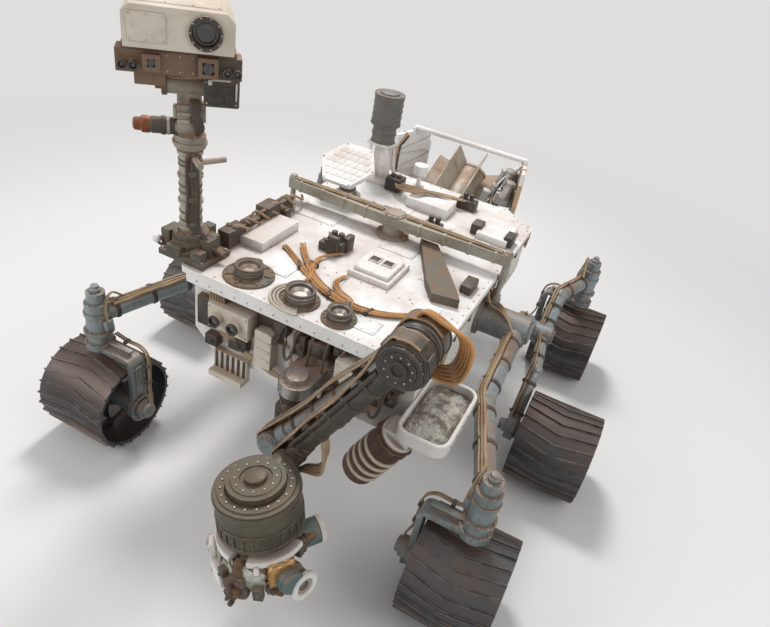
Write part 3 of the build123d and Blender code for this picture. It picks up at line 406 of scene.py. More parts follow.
class Shell:
    """Closed surfaces gathered into one mesh, each a grid of points joined by quads."""

    def __init__(self):
        self.points = []
        self.faces = []
        self.count = 0

    def grid(self, points, round_u=False):
        """Quads between neighbours of points[batch, u, v], the last column joined to the first. round_u
        joins the last row to the first too. Without it both are closed with fans to their middles."""
        points = np.asarray(points, float)
        if points.ndim == 3:
            points = points[None]
        batch, rows, columns = points.shape[:3]
        index = self.count + np.arange(batch * rows * columns).reshape(batch, rows, columns)
        looped = np.concatenate((index, index[:, :1]), axis=1) if round_u else index
        looped = np.concatenate((looped, looped[:, :, :1]), axis=2)
        corners = (looped[:, :-1, :-1], looped[:, :-1, 1:], looped[:, 1:, 1:], looped[:, 1:, :-1])
        self.points.append(points.reshape(-1, 3))
        self.faces += np.stack(corners, axis=-1).reshape(-1, 4).tolist()
        self.count += batch * rows * columns
        if not round_u:
            for row in (0, -1):
                middles = self.count + np.arange(batch)
                self.points.append(points[:, row].mean(axis=1))
                self.count += batch
                rim = looped[:, row]
                fan = (rim[:, :-1], rim[:, 1:], np.broadcast_to(middles[:, None], rim[:, 1:].shape))
                self.faces += np.stack(fan, axis=-1).reshape(-1, 3).tolist()
        return self

    def turned(self, profile, origin, axis, sides=32):
        """A profile of (distance along the axis, radius) carried round the axis."""
        profile = np.asarray(profile, float)
        origin = np.asarray(origin, float)
        ring = rays(np.arange(sides) * tau / sides, *cross_frame(axis))
        return self.grid(origin + profile[:, None, :1] * unit(axis) + profile[:, None, 1:] * ring)

    def hoop(self, section, origin, axis, sides=48):
        """A closed section of (distance along the axis, radius) carried round it: a ring with a hole."""
        section = np.asarray(section, float)
        ring = rays(np.arange(sides)[:, None] * tau / sides, *cross_frame(axis))
        points = np.asarray(origin, float) + section[None, :, :1] * unit(axis) + section[None, :, 1:] * ring
        return self.grid(points, round_u=True)

    def band(self, low, high, inner, outer, origin, axis, sides=48):
        """A ring of rectangular section, from low to high along the axis and from inner to outer."""
        return self.hoop(((low, inner), (low, outer), (high, outer), (high, inner)), origin, axis, sides)

    def tube(self, line, radius, sides=10):
        """A round section carried along a line of points, square to its run."""
        line = np.asarray(line, float)
        run = unit(np.gradient(line, axis=0))
        spread = np.linalg.svd(line - line.mean(axis=0))[2][2]
        side = unit(np.cross(run, spread))
        rise = np.cross(side, run)
        around = rays(np.arange(sides) * tau / sides, side[:, None], rise[:, None])
        return self.grid(line[:, None] + radius * around)

    def block(self, centre, size, edge=0.003, across=(1, 0, 0), rise=(0, 0, 1)):
        """A box with rounded corners: six rounded outlines along its rise, the outer ones drawn in."""
        across = unit(across)
        rise = unit(np.asarray(rise, float) - np.dot(rise, across) * across)
        depth = np.cross(rise, across)
        width, length, height = size
        edge = min(edge, 0.49 * min(size))
        quarter = np.linspace(0, pi / 2, 3)
        corner = np.stack((np.cos(quarter), np.sin(quarter)), axis=-1)
        turns = (((1, 0), (0, 1)), ((0, -1), (1, 0)), ((-1, 0), (0, -1)), ((0, 1), (-1, 0)))
        signs = np.array(((1, 1), (-1, 1), (-1, -1), (1, -1)), float)
        arcs = np.concatenate([corner @ np.array(turn, float).T for turn in turns])
        signs = np.repeat(signs, 3, axis=0)
        level = height / 2 * np.array((-1, -1, -1, 1, 1, 1)) + edge * np.array((0, 0.3, 1, -1, -0.3, 0))
        inset = edge * np.array((1, 0.3, 0, 0, 0.3, 1))
        half = np.array((width / 2, length / 2)) - edge
        flat = signs[None] * half + arcs[None] * (edge - 0.98 * inset)[:, None, None]
        points = (np.asarray(centre, float) + flat[..., :1] * across + flat[..., 1:] * depth
                  + level[:, None, None] * rise)
        return self.grid(points)

    def studs(self, places, axes, radius=0.005, height=0.004, sides=6):
        """A low bolt head on each place, along its axis: a prism with its top edge taken off."""
        places = np.asarray(places, float).reshape(-1, 3)
        axes = np.broadcast_to(unit(axes), places.shape)
        first, second = cross_frame(axes)
        ring = rays(np.arange(sides) * tau / sides, first[:, None], second[:, None])
        levels = np.array((-0.4, 0.7, 1.0)) * height
        radii = np.array((1.0, 1.0, 0.72)) * radius
        points = (places[:, None, None] + levels[None, :, None, None] * axes[:, None, None]
                  + radii[None, :, None, None] * ring[:, None])
        return self.grid(points)

    def bolt_circle(self, centre, axis, circle, count, radius=0.005, height=0.004, start=0.0):
        """Bolt heads evenly spaced on a circle about the axis."""
        angle = start + np.arange(count) * tau / count
        places = np.asarray(centre, float) + circle * rays(angle, *cross_frame(axis))
        return self.studs(places, axis, radius, height)

    def cable(self, line, radius, steps=8, at=place):
        """A round cable through the line's points, each placed by the function at."""
        return self.tube(smooth_line([at(*point) for point in line], steps), radius, 8)

    def piece(self, name, body, finish, slot=None, sharp=35):
        """The gathered surfaces as one object that rides on a body. Faces are turned outwards."""
        mesh = bpy.data.meshes.new(name)
        mesh.from_pydata(np.concatenate(self.points).tolist(), [], self.faces)
        work = bmesh.new()
        work.from_mesh(mesh)
        bmesh.ops.recalc_face_normals(work, faces=work.faces)
        work.to_mesh(mesh)
        work.free()
        mesh.shade_smooth()
        mesh.set_sharp_from_angle(angle=radians(sharp))
        mesh.materials.append(finish)
        made = bpy.data.objects.new(name, mesh)
        scene.collection.objects.link(made)
        slot = slot or finish_slots.get(finish.name, "dark_paint")
        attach(made, body)
        return made


def smooth_line(points, steps=8):
    """A line through all the points. Each run is a cubic that leans along its neighbours (Catmull-Rom)."""
    points = np.asarray(points, float)
    points = np.vstack((2 * points[0] - points[1], points, 2 * points[-1] - points[-2]))
    t = np.linspace(0, 1, steps, endpoint=False)[None, :, None]
    a, b, c, d = (points[i:len(points) - 3 + i, None] for i in range(4))
    runs = 0.5 * (2 * b + (c - a) * t + (2 * a - 5 * b + 4 * c - d) * t ** 2
                  + (3 * b - a - 3 * c + d) * t ** 3)
    return np.vstack((runs.reshape(-1, 3), points[-2]))


def between(start, end, count):
    """Evenly spaced places from start to end."""
    return np.linspace(np.asarray(start, float), np.asarray(end, float), count)


# Wheels: a thin crowned skin, chevron lugs, bowed leaf spokes and a hub that is open towards its drive

WHEEL_RADIUS, WHEEL_HALF = 0.25, 0.2
SKIN_RADIUS = 0.2375
LUG_COUNT, LUG_SWEEP = 24, 0.017
SPOKE_PAIRS = 5
FRONT_AXLE, REAR_AXLE = -1.05, 1.13
END_TRACK, MIDDLE_TRACK = 1.02, 1.2
# columns: corner, x, y, steered
wheel_table = (("fl", END_TRACK, FRONT_AXLE, True), ("fr", -END_TRACK, FRONT_AXLE, True),
               ("ml", MIDDLE_TRACK, 0.0, False), ("mr", -MIDDLE_TRACK, 0.0, False),
               ("rl", END_TRACK, REAR_AXLE, True), ("rr", -END_TRACK, REAR_AXLE, True))


def wheel_piece(corner, x, y):
    """The skin and hub are profiles carried round the axle. A lug's angle at t, from -1 to 1 across the
    wheel, is its own plus the chevron's sweep (1 - 2|t|). A spoke leaf's offset at t, from the hub to the
    skin, is bow sin(pi t)."""
    outwards = 1 if x > 0 else -1
    axis = np.array((outwards, 0, 0), float)
    centre = place(x, y, WHEEL_RADIUS)
    first, second = cross_frame(axis)
    shell = Shell()
    along = np.linspace(-WHEEL_HALF, WHEEL_HALF, 9)
    outer = np.stack((along, SKIN_RADIUS + 0.002 * (1 - (along / WHEEL_HALF) ** 2)), axis=-1)
    inner = ((0.2, 0.2215), (0.19, 0.2215), (0.188, 0.2325), (0.012, 0.2345), (0.006, 0.219),
             (-0.006, 0.219), (-0.012, 0.2345), (-0.188, 0.2325), (-0.19, 0.2215), (-0.2, 0.2215))
    shell.hoop(np.vstack((outer, inner)), centre, axis, 96)
    t = np.linspace(-1, 1, 17)[None, :, None]
    foot = np.array((-0.0062, -0.0036, 0.0036, 0.0062))
    height = np.array((0.2365, WHEEL_RADIUS, WHEEL_RADIUS, 0.2365))
    number = np.arange(LUG_COUNT)[:, None, None]
    angle = number * tau / LUG_COUNT + (LUG_SWEEP * (1 - 2 * np.abs(t)) + foot) / SKIN_RADIUS
    angle, t, height = np.broadcast_arrays(angle, t, height)
    shell.grid(centre + WHEEL_HALF * t[..., None] * axis + height[..., None] * rays(angle, first, second))
    t = np.linspace(0, 1, 13)[None, :, None]
    wide = np.array((-0.022, -0.022, 0.022, 0.022))
    thick = np.array((-0.0016, 0.0016, 0.0016, -0.0016))
    for bow in (0.036, 0.022):
        for turn in (0.0, 0.5 * tau / SPOKE_PAIRS):
            angle = turn + np.arange(SPOKE_PAIRS)[:, None, None] * tau / SPOKE_PAIRS
            reach = 0.062 + (0.2255 - 0.062) * t
            aside = bow * np.sin(pi * t) + thick
            shell.grid(centre + wide[:, None] * axis + reach[..., None] * rays(angle, first, second)
                       + aside[..., None] * rays(angle, second, -first))
    hub = ((0.0, 0.056), (-0.075, 0.056), (-0.077, 0.066), (-0.06, 0.071), (0.04, 0.069), (0.06, 0.063),
           (0.074, 0.052), (0.083, 0.044), (0.083, 0.022), (0.088, 0.018))
    shell.turned(hub, centre, axis, 40)
    shell.hoop(((0.02, 0.066), (0.02, 0.082), (0.03, 0.082), (0.034, 0.066)), centre, axis, 40)
    shell.bolt_circle(centre + 0.03 * axis, axis, 0.076, 10, 0.004, 0.005, start=0.1)
    shell.bolt_circle(centre + 0.083 * axis, axis, 0.033, 6, 0.004, 0.004)
    shell.bolt_circle(centre + 0.188 * axis, axis, 0.2275, 30, 0.0028, 0.003)
    made = shell.piece(f"wheel_shell_{corner}", f"wheel_{corner}", WHEEL, sharp=28)
    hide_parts(f"wheel_{corner}")


for row in wheel_table:
    wheel_piece(*row[:3])


# Knuckles: bolts, a raised web, the drive's motor can and its cable, all turning with the wheel

# Distance inwards, distance to the rear, and height of the points of a cable down the knuckle
KNUCKLE_CABLE = ((0.05, 0.05, 0.612), (0.12, 0.056, 0.59), (0.2, 0.058, 0.588), (0.25, 0.054, 0.545),
                 (0.258, 0.048, 0.45), (0.262, 0.04, 0.36), (0.28, 0.028, 0.31), (0.285, 0.014, 0.285))
for corner, x, y in (row[:3] for row in wheel_table if row[3]):
    inward = -1 if x > 0 else 1
    body = f"steer_{corner}"
    to_chassis = np.array((inward, 0, 0), float)
    bolts = Shell()
    bolts.bolt_circle(place(x, y, 0.583), UP, 0.065, 10)
    disc_face = place(x + inward * 0.248, y, WHEEL_RADIUS)
    bolts.bolt_circle(disc_face, to_chassis, 0.06, 10)
    for level in (0.36, 0.44, 0.52):
        for offset in (-0.034, 0.034):
            bolts.studs(place(x + inward * 0.24, y + offset, level), to_chassis, 0.004)
    bolts.piece(f"knuckle_bolts_{corner}", body, BARE)
    web = Shell()
    web.block(place(x + inward * 0.242, y, 0.435), (0.01, 0.042, 0.17), 0.004)
    web.block(place(x + inward * 0.11, y, 0.596), (0.19, 0.03, 0.01), 0.004)
    web.turned(((0, 0.048), (0.004, 0.052), (0.03, 0.05), (0.034, 0.04), (0.052, 0.038), (0.056, 0.03)),
               disc_face, to_chassis, 28)
    web.band(-0.004, 0.006, 0.066, 0.074, disc_face, to_chassis, 40)
    web.piece(f"knuckle_drive_{corner}", body, GREY_TUBE)
    cable = Shell()
    for aside, radius in ((0.0, 0.0055), (0.013, 0.004)):
        line = [(x + inward * reach, y + depth + aside, level) for reach, depth, level in KNUCKLE_CABLE]
        cable.cable(line, radius)
    cable.piece(f"knuckle_cable_{corner}", body, TAN_CABLE)
    straps = Shell()
    for reach, depth, level in ((0.12, 0.062, 0.59), (0.256, 0.056, 0.5), (0.26, 0.049, 0.4)):
        straps.block(place(x + inward * reach, y + depth - 0.006, level), (0.02, 0.036, 0.014), 0.003)
    straps.piece(f"knuckle_straps_{corner}", body, DARK)


# Suspension tubes: clamps, cable bundles along them, bolts at hubs and steering drives

CLAMP_GAP, CABLE_LIFT = 0.15, 0.006


def dress_tube(points, tube_radius, side, name, bundle):
    """Rings round each run of a bent tube, and cables that follow it just outside its surface."""
    points = np.array([place(side * x, y, z) for x, y, z in points])
    rings, cables = Shell(), Shell()
    for start, end in zip(points, points[1:]):
        length = np.linalg.norm(end - start)
        run = (end - start) / length
        for centre in between(start + run * 0.09, end - run * 0.09, max(2, int(length / CLAMP_GAP))):
            band = ((-0.01, -0.004), (-0.01, 0.004), (-0.006, 0.006), (0.006, 0.006), (0.01, 0.004),
                    (0.01, -0.004))
            rings.hoop([(along, tube_radius + out) for along, out in band], centre, run, 32)
            outward = unit(np.cross(run, np.cross(np.array((-side * 0.5, 0, 1.0)), run)))
            saddle = centre + outward * (tube_radius + 0.008)
            rings.block(saddle, (0.044, 0.02, 0.022), 0.004, np.cross(run, outward), outward)
    dense = np.vstack([between(a, b, 9)[:-1] for a, b in zip(points, points[1:])] + [points[-1:]])
    run = unit(np.gradient(dense, axis=0))
    outward = unit(np.cross(run, np.cross(np.array((-side * 0.5, 0, 1.0)), run)))
    aside = np.cross(run, outward)
    wave = np.sin(np.arange(len(dense)) * 1.9)[:, None]
    for number, radius in enumerate(bundle):
        away = (number - (len(bundle) - 1) / 2) * 0.014
        line = (dense + outward * (tube_radius + radius + 0.002 + CABLE_LIFT)
                + aside * (away + 0.0015 * wave * (number - 1)))
        cables.tube(smooth_line(line[1:-1], 3), radius, 8)
    rings.piece(f"{name}_clamps", "chassis", DARK)
    cables.piece(f"{name}_cables", "chassis", TAN_CABLE)


ROCKER_PIVOT_Y = 0.05
ROCKER_PIVOT, BOGIE_PIVOT = (ROCKER_PIVOT_Y, 0.85), (0.565, 0.56)
BOGIE_PLANE, ARM_PLANE = 0.9043, 0.952
# columns: name, points along the tube's axis, its radius, radii of the cables along it
tube_table = (
    ("rocker_front", ((0.8, 0.0, 0.845), (0.824, -0.525, 0.79), (1.02, FRONT_AXLE, 0.738)),
     0.048, (0.008, 0.006, 0.005)),
    ("rocker_back", ((0.8, *ROCKER_PIVOT), (0.8, 0.395, 0.7), (0.8, *BOGIE_PIVOT)),
     0.048, (0.008, 0.006, 0.005)),
    ("bogie_back", ((BOGIE_PLANE, *BOGIE_PIVOT), (BOGIE_PLANE, 0.8, 0.726), (1.02, REAR_AXLE, 0.726)),
     0.04, (0.007, 0.005)),
    ("bogie_front", ((BOGIE_PLANE, *BOGIE_PIVOT), (ARM_PLANE, 0.27, 0.5), (ARM_PLANE, 0.0, 0.25)),
     0.034, (0.006, 0.005)))
for side_name, side in SIDES:
    sideways = np.array((side, 0, 0), float)
    for name, points, radius, bundle in tube_table:
        dress_tube(points, radius, side, f"{name}_{side_name}", bundle)
    bolts = Shell()
    # columns: x, pivot, axis, radius of the bolt circle, count, height of the heads
    for x, pivot, axis, circle, count, height in (
            (0.873, ROCKER_PIVOT, sideways, 0.046, 10, 0.005),
            (0.857, ROCKER_PIVOT, sideways, 0.074, 14, 0.004),
            (0.596, ROCKER_PIVOT, sideways, 0.097, 16, 0.004),
            (0.9633, BOGIE_PIVOT, sideways, 0.036, 8, 0.004),
            (0.743, BOGIE_PIVOT, -sideways, 0.05, 8, 0.004)):
        bolts.bolt_circle(place(side * x, *pivot), axis, circle, count, 0.005, height)
    for axle_y in (FRONT_AXLE, REAR_AXLE):
        steer_x = side * END_TRACK
        bolts.bolt_circle(place(steer_x, axle_y, 0.6523), UP, 0.0655, 10, start=0.2)
        bolts.bolt_circle(place(steer_x, axle_y, 0.812), UP, 0.052, 10, 0.004)
        bolts.bolt_circle(place(steer_x, axle_y, 0.87), UP, 0.034, 6, 0.004)
    inner_face = place(side * 0.927, 0, WHEEL_RADIUS)
    bolts.bolt_circle(inner_face, -sideways, 0.06, 10)
    bolts.piece(f"suspension_bolts_{side_name}", "chassis", BARE)
    ends = Shell()
    ends.turned(((0, 0.04), (0.02, 0.04), (0.024, 0.034), (0.046, 0.032), (0.05, 0.024)), inner_face,
                -sideways, 28)
    for axle_y in (FRONT_AXLE, REAR_AXLE):
        top = place(steer_x, axle_y, 0.87)
        ends.turned(((0, 0.026), (0.016, 0.026), (0.02, 0.02), (0.034, 0.018), (0.036, 0.012)), top, UP, 24)
        ends.band(0.74, 0.76, 0.056, 0.064, place(steer_x, axle_y, 0), UP, 36)
        ends.block(place(steer_x - side * 0.066, axle_y, 0.7), (0.03, 0.046, 0.06), 0.006)
        ends.block(place(steer_x, axle_y + 0.062, 0.79), (0.04, 0.022, 0.034), 0.005)
    ends.piece(f"drive_ends_{side_name}", "chassis", GREY_TUBE)
    loops = Shell()
    for axle_y, start in ((FRONT_AXLE, (0.965, -0.93, 0.806)), (REAR_AXLE, (0.99, 1.03, 0.782))):
        for aside in (0, 0.012):
            line = (start, (0.968, axle_y + 0.05, 0.86), (0.958 + aside, axle_y, 0.815),
                    (0.946 + aside, axle_y - 0.01, 0.75), (0.952 + aside, axle_y - 0.005, 0.715))
            loops.cable(line, 0.0055, at=on_side(side))
    loops.piece(f"steering_loops_{side_name}", "chassis", TAN_CABLE)


# Chassis: raised panels with their screws on all four sides, slanted belly panels, cable runs, front screws

for side_name, side in SIDES:
    sideways = (side, 0, 0)
    panels, screws = Shell(), Shell()
    # columns: middle y, length, middle z, height
    for middle, length, level, height in (
            (-0.7, 0.26, 0.925, 0.25), (-0.34, 0.36, 0.925, 0.25), (0.36, 0.3, 0.925, 0.25),
            (0.69, 0.26, 0.925, 0.25)):
        if side > 0 and middle < -0.5:
            continue
        panels.block(place(side * 0.583, middle, level), (0.008, length, height), 0.003)
        ys = np.linspace(middle - length / 2 + 0.014, middle + length / 2 - 0.014, 6)
        for z in (level - height / 2 + 0.014, level + height / 2 - 0.014):
            screws.studs([place(side * 0.587, y, z) for y in ys], sideways, 0.004, 0.003)
        zs = np.linspace(level - 0.07, level + 0.07, 3)
        for y in (ys[0], ys[-1]):
            screws.studs([place(side * 0.587, y, z) for z in zs], sideways, 0.004, 0.003)
    for middle in (-0.62, -0.25, 0.3, 0.62):
        normal = unit((side * 0.1, 0, -0.11))
        panels.block(place(side * 0.525, middle, 0.71) + normal * 0.002, (0.11, 0.26, 0.006), 0.003,
                     (side * 0.11, 0, 0.1), normal)
    panels.piece(f"side_panels_{side_name}", "chassis", WHITE)
    screws.piece(f"side_screws_{side_name}", "chassis", BARE)
    runs = Shell()
    for number, radius in enumerate((0.01, 0.008, 0.008, 0.006)):
        level = 1.068 - 0.018 * number
        line = [(0.59 + radius, y, level + 0.003 * sin(9 * y + number))
                for y in np.linspace(-0.52, 0.78, 9)[::-1]]
        line = [(0.6, 0.81, level - 0.06), *line, (0.6, -0.56, level - 0.05), (0.596, -0.585, level - 0.12)]
        runs.cable(line, radius, at=on_side(side))
    for number in range(3):
        line = ((0.596 + 0.01 * number, 0.02 + 0.03 * number, 1.02), (0.62, 0.02 + 0.03 * number, 0.97),
                (0.64, 0.01 + 0.03 * number, 0.955), (0.7, 0.02 * number, 0.945),
                (0.76, -0.03, 0.915), (0.8, -0.09, 0.906))
        runs.cable(line, 0.007, at=on_side(side))
    runs.piece(f"side_cables_{side_name}", "chassis", TAN_CABLE)
    ties = Shell()
    for y in np.linspace(-0.48, 0.74, 7):
        ties.block(place(side * 0.592, y, 1.041), (0.03, 0.018, 0.086), 0.004)
    ties.piece(f"side_ties_{side_name}", "chassis", DARK)

front_screws = Shell()
for x in (-0.21, 0.21):
    for z in (0.885, 1.045):
        front_screws.studs([on_front(x + dx, 0, z) for dx in (-0.165, 0.165)], AHEAD, 0.005)
front_screws.studs([place(x, DECK_FRONT, 1.072) for x in np.linspace(-0.52, 0.52, 16)], AHEAD, 0.004)
front_screws.studs([on_front(x, 0.09, z) for x in (0.245, 0.355) for z in (0.8, 0.99)], AHEAD, 0.004)
front_screws.studs([on_front(x, 0.08, z) for x in (-0.43, -0.23) for z in (0.89, 0.99)], AHEAD, 0.004)
front_screws.studs([on_front(x, 0.03, z) for x in (-0.02, 0.22) for z in (0.76, 0.82, 0.88)], AHEAD,
                   0.006, 0.006)
front_screws.piece("front_screws", "chassis", BARE)


# Deck: screws round the edge, doubler plates, funnel rims, window frames on the raised box, looped cables

deck = Shell()
edge_in = 0.018
# columns: start and end of a row of screws, their count
for start, end, count in (
        *(((x, DECK_FRONT + 0.04), (x, DECK_BACK - DECK_CUT - 0.02), 22)
          for x in (-DECK_HALF + edge_in, DECK_HALF - edge_in)),
        *(((-DECK_HALF + 0.05, y), (DECK_HALF - 0.05, y), 18) for y in (DECK_FRONT + edge_in, -0.5, 0.26)),
        ((-0.4, DECK_BACK - edge_in), (0.4, DECK_BACK - edge_in), 12),
        *(((side * 0.59, 0.7), (side * 0.44, 0.85), 5) for side in (-1, 1))):
    deck.studs([on_deck(x, y) for x, y in between(start, end, count)], UP, 0.0045, 0.003)
deck.piece("deck_screws", "chassis", BARE)

plates, plate_screws = Shell(), Shell()
# columns: x, y, width, depth
for x, y, width, depth in (
        (-0.3, -0.6, 0.22, 0.2), (0.42, -0.18, 0.24, 0.2), (-0.42, -0.02, 0.26, 0.16),
        (0.1, -0.06, 0.2, 0.14), (-0.05, -0.62, 0.18, 0.16), (0.36, 0.3, 0.24, 0.14),
        (-0.16, 0.34, 0.26, 0.2), (0.28, -0.79, 0.12, 0.1), (-0.52, 0.6, 0.14, 0.18)):
    plates.block(on_deck(x, y, 0.0015), (width, depth, 0.005), 0.0022)
    plate_screws.studs([on_deck(x + dx * (width / 2 - 0.012), y + dy * (depth / 2 - 0.012), 0.004)
                        for dx in (-1, 0, 1) for dy in (-1, 1)], UP, 0.0038, 0.0025)
plates.piece("deck_plates", "chassis", DECK_WHITE)
plate_screws.piece("deck_plate_screws", "chassis", BARE)

rims, throats, covers, arcs = Shell(), Shell(), Shell(), Shell()
# columns: x, y, radius and height of the funnel, radius of the dark cover round it
for x, y, radius, height, cover in (
        (-0.33, DECK_FRONT + 0.13, 0.062, 0.054, 0.118), (-0.04, DECK_FRONT + 0.105, 0.066, 0.06, 0.092),
        (0.165, DECK_FRONT + 0.095, 0.052, 0.048, 0.08)):
    foot = on_deck(x, y)
    covers.hoop(((0, radius + 0.002), (0, cover), (0.006, cover), (0.011, cover - 0.006),
                 (0.011, radius + 0.012), (0.014, radius + 0.01), (0.014, radius + 0.002)), foot, UP, 56)
    covers.bolt_circle(foot + (0, 0, 0.011), UP, cover - 0.012, 16, 0.004, 0.004)
    for angle in np.arange(7) * tau / 7 + 0.3:
        covers.block(foot + (cos(angle) * (radius + cover) / 2, sin(angle) * (radius + cover) / 2, 0.013),
                     (0.01, cover - radius - 0.022, 0.008), 0.002, (-sin(angle), cos(angle), 0), UP)
    rims.hoop(((height - 0.008, radius - 0.006), (height - 0.008, radius + 0.003),
               (height + 0.004, radius + 0.003), (height + 0.006, radius - 0.002),
               (height + 0.002, radius - 0.008)), foot, UP, 48)
    for level in (0.02, 0.034):
        rims.band(level, level + 0.005, radius - 0.002, radius + 0.004, foot, UP, 48)
    throats.hoop(((height - 0.046, radius - 0.04), (height - 0.046, radius - 0.031),
                  (height - 0.006, radius - 0.009), (height - 0.002, radius - 0.012)), foot, UP, 40)
    throats.block(on_deck(x, y + radius + 0.012, 0.04), (0.03, 0.022, 0.022), 0.004)
for radius in (0.102, 0.119, 0.136):
    spin = np.radians(np.linspace(110, 292, 40))
    oval = np.stack((radius * np.cos(spin), radius * np.sin(spin) * 0.86, 0 * spin), axis=-1)
    arcs.tube(on_deck(-0.04, DECK_FRONT + 0.105, 0.006) + oval, 0.0072, 8)
rims.piece("inlet_rims", "chassis", OLIVE)
covers.piece("inlet_covers", "chassis", OLIVE, "dark_paint")
throats.piece("inlet_throats", "chassis", DARK)
arcs.piece("inlet_cords", "chassis", PALE_CORD)

frames = Shell()
BOX_X, BOX_Y, BOX_TOP = 0.12, -0.35, DECK_TOP + 0.044
for x in (BOX_X - 0.036, BOX_X + 0.036):
    frames.block(place(x, BOX_Y + 0.02, BOX_TOP + 0.001), (0.046, 0.046, 0.006), 0.002)
frames.piece("box_windows", "chassis", BLACK)
frames = Shell()
for x in (BOX_X - 0.036, BOX_X + 0.036):
    for dx, dy, width, depth in (
            (-0.026, 0, 0.006, 0.058), (0.026, 0, 0.006, 0.058), (0, -0.026, 0.046, 0.006),
            (0, 0.026, 0.046, 0.006)):
        frames.block(place(x + dx, BOX_Y + 0.02 + dy, BOX_TOP + 0.003), (width, depth, 0.008), 0.002)
frames.studs([place(BOX_X + dx, BOX_Y + dy, BOX_TOP) for dx in (-0.08, 0, 0.08) for dy in (-0.09, 0.09)],
             UP, 0.004, 0.003)
frames.piece("box_frames", "chassis", DECK_WHITE)

ORANGE_ROUTES = (
    ((-0.36, -0.47), (-0.26, -0.535), (-0.15, -0.61), (-0.02, -0.69), (0.08, -0.725), (0.19, -0.735),
     (0.32, -0.695), (0.43, -0.62)),
    ((-0.3, -0.4), (-0.22, -0.5), (-0.12, -0.6), (-0.02, -0.67), (0.1, -0.705), (0.2, -0.715),
     (0.32, -0.675), (0.42, -0.6)),
    ((-0.1, -0.36), (-0.16, -0.46), (-0.14, -0.56), (-0.1, -0.64), (-0.105, -0.72)),
    ((0.02, -0.52), (0.01, -0.6), (0.06, -0.66), (0.14, -0.7), (0.16, -0.76)))
cables = Shell()
for number, route in enumerate(ORANGE_ROUTES):
    for strand in range(3):
        rest = DECK_TOP + 0.01 + 0.004 * ((strand + number) % 2)
        line = [(x + 0.006 * strand, y + 0.009 * strand, rest + 0.006 * sin(3.0 * index + number) ** 2)
                for index, (x, y) in enumerate(route)]
        cables.cable(line, 0.0052 - 0.0006 * strand)
cables.piece("deck_orange_cables", "chassis", ORANGE_CABLE)
ties = Shell()
for x, y, turn in ((-0.2, -0.575, 0.6), (0.04, -0.7, 0.3), (0.25, -0.71, -0.3), (-0.148, -0.52, 1.5)):
    ties.block(on_deck(x, y, 0.012), (0.014, 0.052, 0.024), 0.004, (cos(turn), sin(turn), 0))
ties.piece("deck_cable_ties", "chassis", DARK)

rack = Shell()
# Dark brackets and connectors on the deck: columns x, y, z above the deck, width, depth, height
for x, y, z, width, depth, height in (
        (-0.15, -0.3, 0.03, 0.1, 0.1, 0.06), (-0.14, -0.36, 0.05, 0.06, 0.03, 0.1),
        (-0.1, -0.27, 0.04, 0.03, 0.07, 0.08), (-0.2, -0.33, 0.022, 0.05, 0.06, 0.044),
        (-0.57, -0.6, 0.045, 0.07, 0.14, 0.09), (-0.58, -0.44, 0.035, 0.06, 0.1, 0.07),
        (-0.57, -0.3, 0.055, 0.08, 0.12, 0.11), (-0.58, -0.14, 0.04, 0.05, 0.12, 0.08),
        (-0.53, -0.2, 0.03, 0.05, 0.05, 0.06), (0.54, -0.2, 0.022, 0.06, 0.12, 0.044),
        (0.16, 0.24, 0.03, 0.1, 0.06, 0.06), (-0.1, 0.24, 0.025, 0.12, 0.05, 0.05),
        (0.36, 0.44, 0.03, 0.06, 0.09, 0.06), (-0.26, 0.62, 0.04, 0.1, 0.1, 0.08),
        (0.2, 0.7, 0.03, 0.12, 0.07, 0.06), (0.56, 0.42, 0.03, 0.05, 0.1, 0.06)):
    rack.block(on_deck(x, y, z), (width, depth, height), 0.005)
for x, y in ((-0.57, -0.6), (-0.57, -0.3), (-0.15, -0.3), (0.16, 0.24), (0.2, 0.7), (-0.26, 0.62)):
    for step in (-0.02, 0.02):
        rack.turned(((0, 0.013), (0.02, 0.013), (0.024, 0.016), (0.04, 0.016), (0.044, 0.01)),
                    on_deck(x + step, y, 0.055), UP, 16)
rack.piece("deck_hardware", "chassis", DARK)
cables = Shell()
for number in range(7):
    start = -0.62 + 0.08 * number
    line = ((-0.585, start, 0.05), (-0.55, start + 0.02, 0.1 + 0.01 * (number % 3)),
            (-0.53, start + 0.1, 0.06), (-0.56, start + 0.16, 0.035), (-0.6, start + 0.22, 0.02))
    cables.cable(line, 0.007, at=on_deck)
for number in range(5):
    line = ((0.2 - 0.02 * number, 0.66, 0.06), (0.1 - 0.03 * number, 0.6, 0.07),
            (-0.06, 0.56 - 0.02 * number, 0.085), (-0.2, 0.6 - 0.02 * number, 0.06), (-0.26, 0.62, 0.06))
    cables.cable(line, 0.006, at=on_deck)
cables.piece("deck_side_cables", "chassis", TAN_CABLE)


# Differential bar: ribs, bolts and its cable

BAR_Z, BAR_HALF_HEIGHT = 1.215, 0.028
bar = Shell()
for side in (-1, 1):
    for reach, half in ((0.16, 0.052), (0.3, 0.045), (0.44, 0.037), (0.58, 0.029)):
        bar.block(place(side * reach, ROCKER_PIVOT_Y, BAR_Z), (0.018, 2 * half + 0.004, 0.064), 0.004)
    bar.turned(((0, 0.026), (0.006, 0.026), (0.01, 0.02), (0.02, 0.018), (0.022, 0.01)),
               place(side * 0.642, ROCKER_PIVOT_Y, BAR_Z + BAR_HALF_HEIGHT), UP, 24)
    bar.band(-0.004, 0.012, 0.013, 0.021, place(side * 0.642, ROCKER_PIVOT_Y, 1.1), UP, 24)
bar.hoop(((0, 0.04), (0, 0.058), (0.006, 0.058), (0.01, 0.05), (0.01, 0.04)),
         place(0, ROCKER_PIVOT_Y, BAR_Z + BAR_HALF_HEIGHT), UP, 40)
bar.piece("bar_ribs", "chassis", BAR_GREY)
bolts = Shell()
bolts.bolt_circle(on_deck(0, ROCKER_PIVOT_Y, 0.016), UP, 0.076, 14)
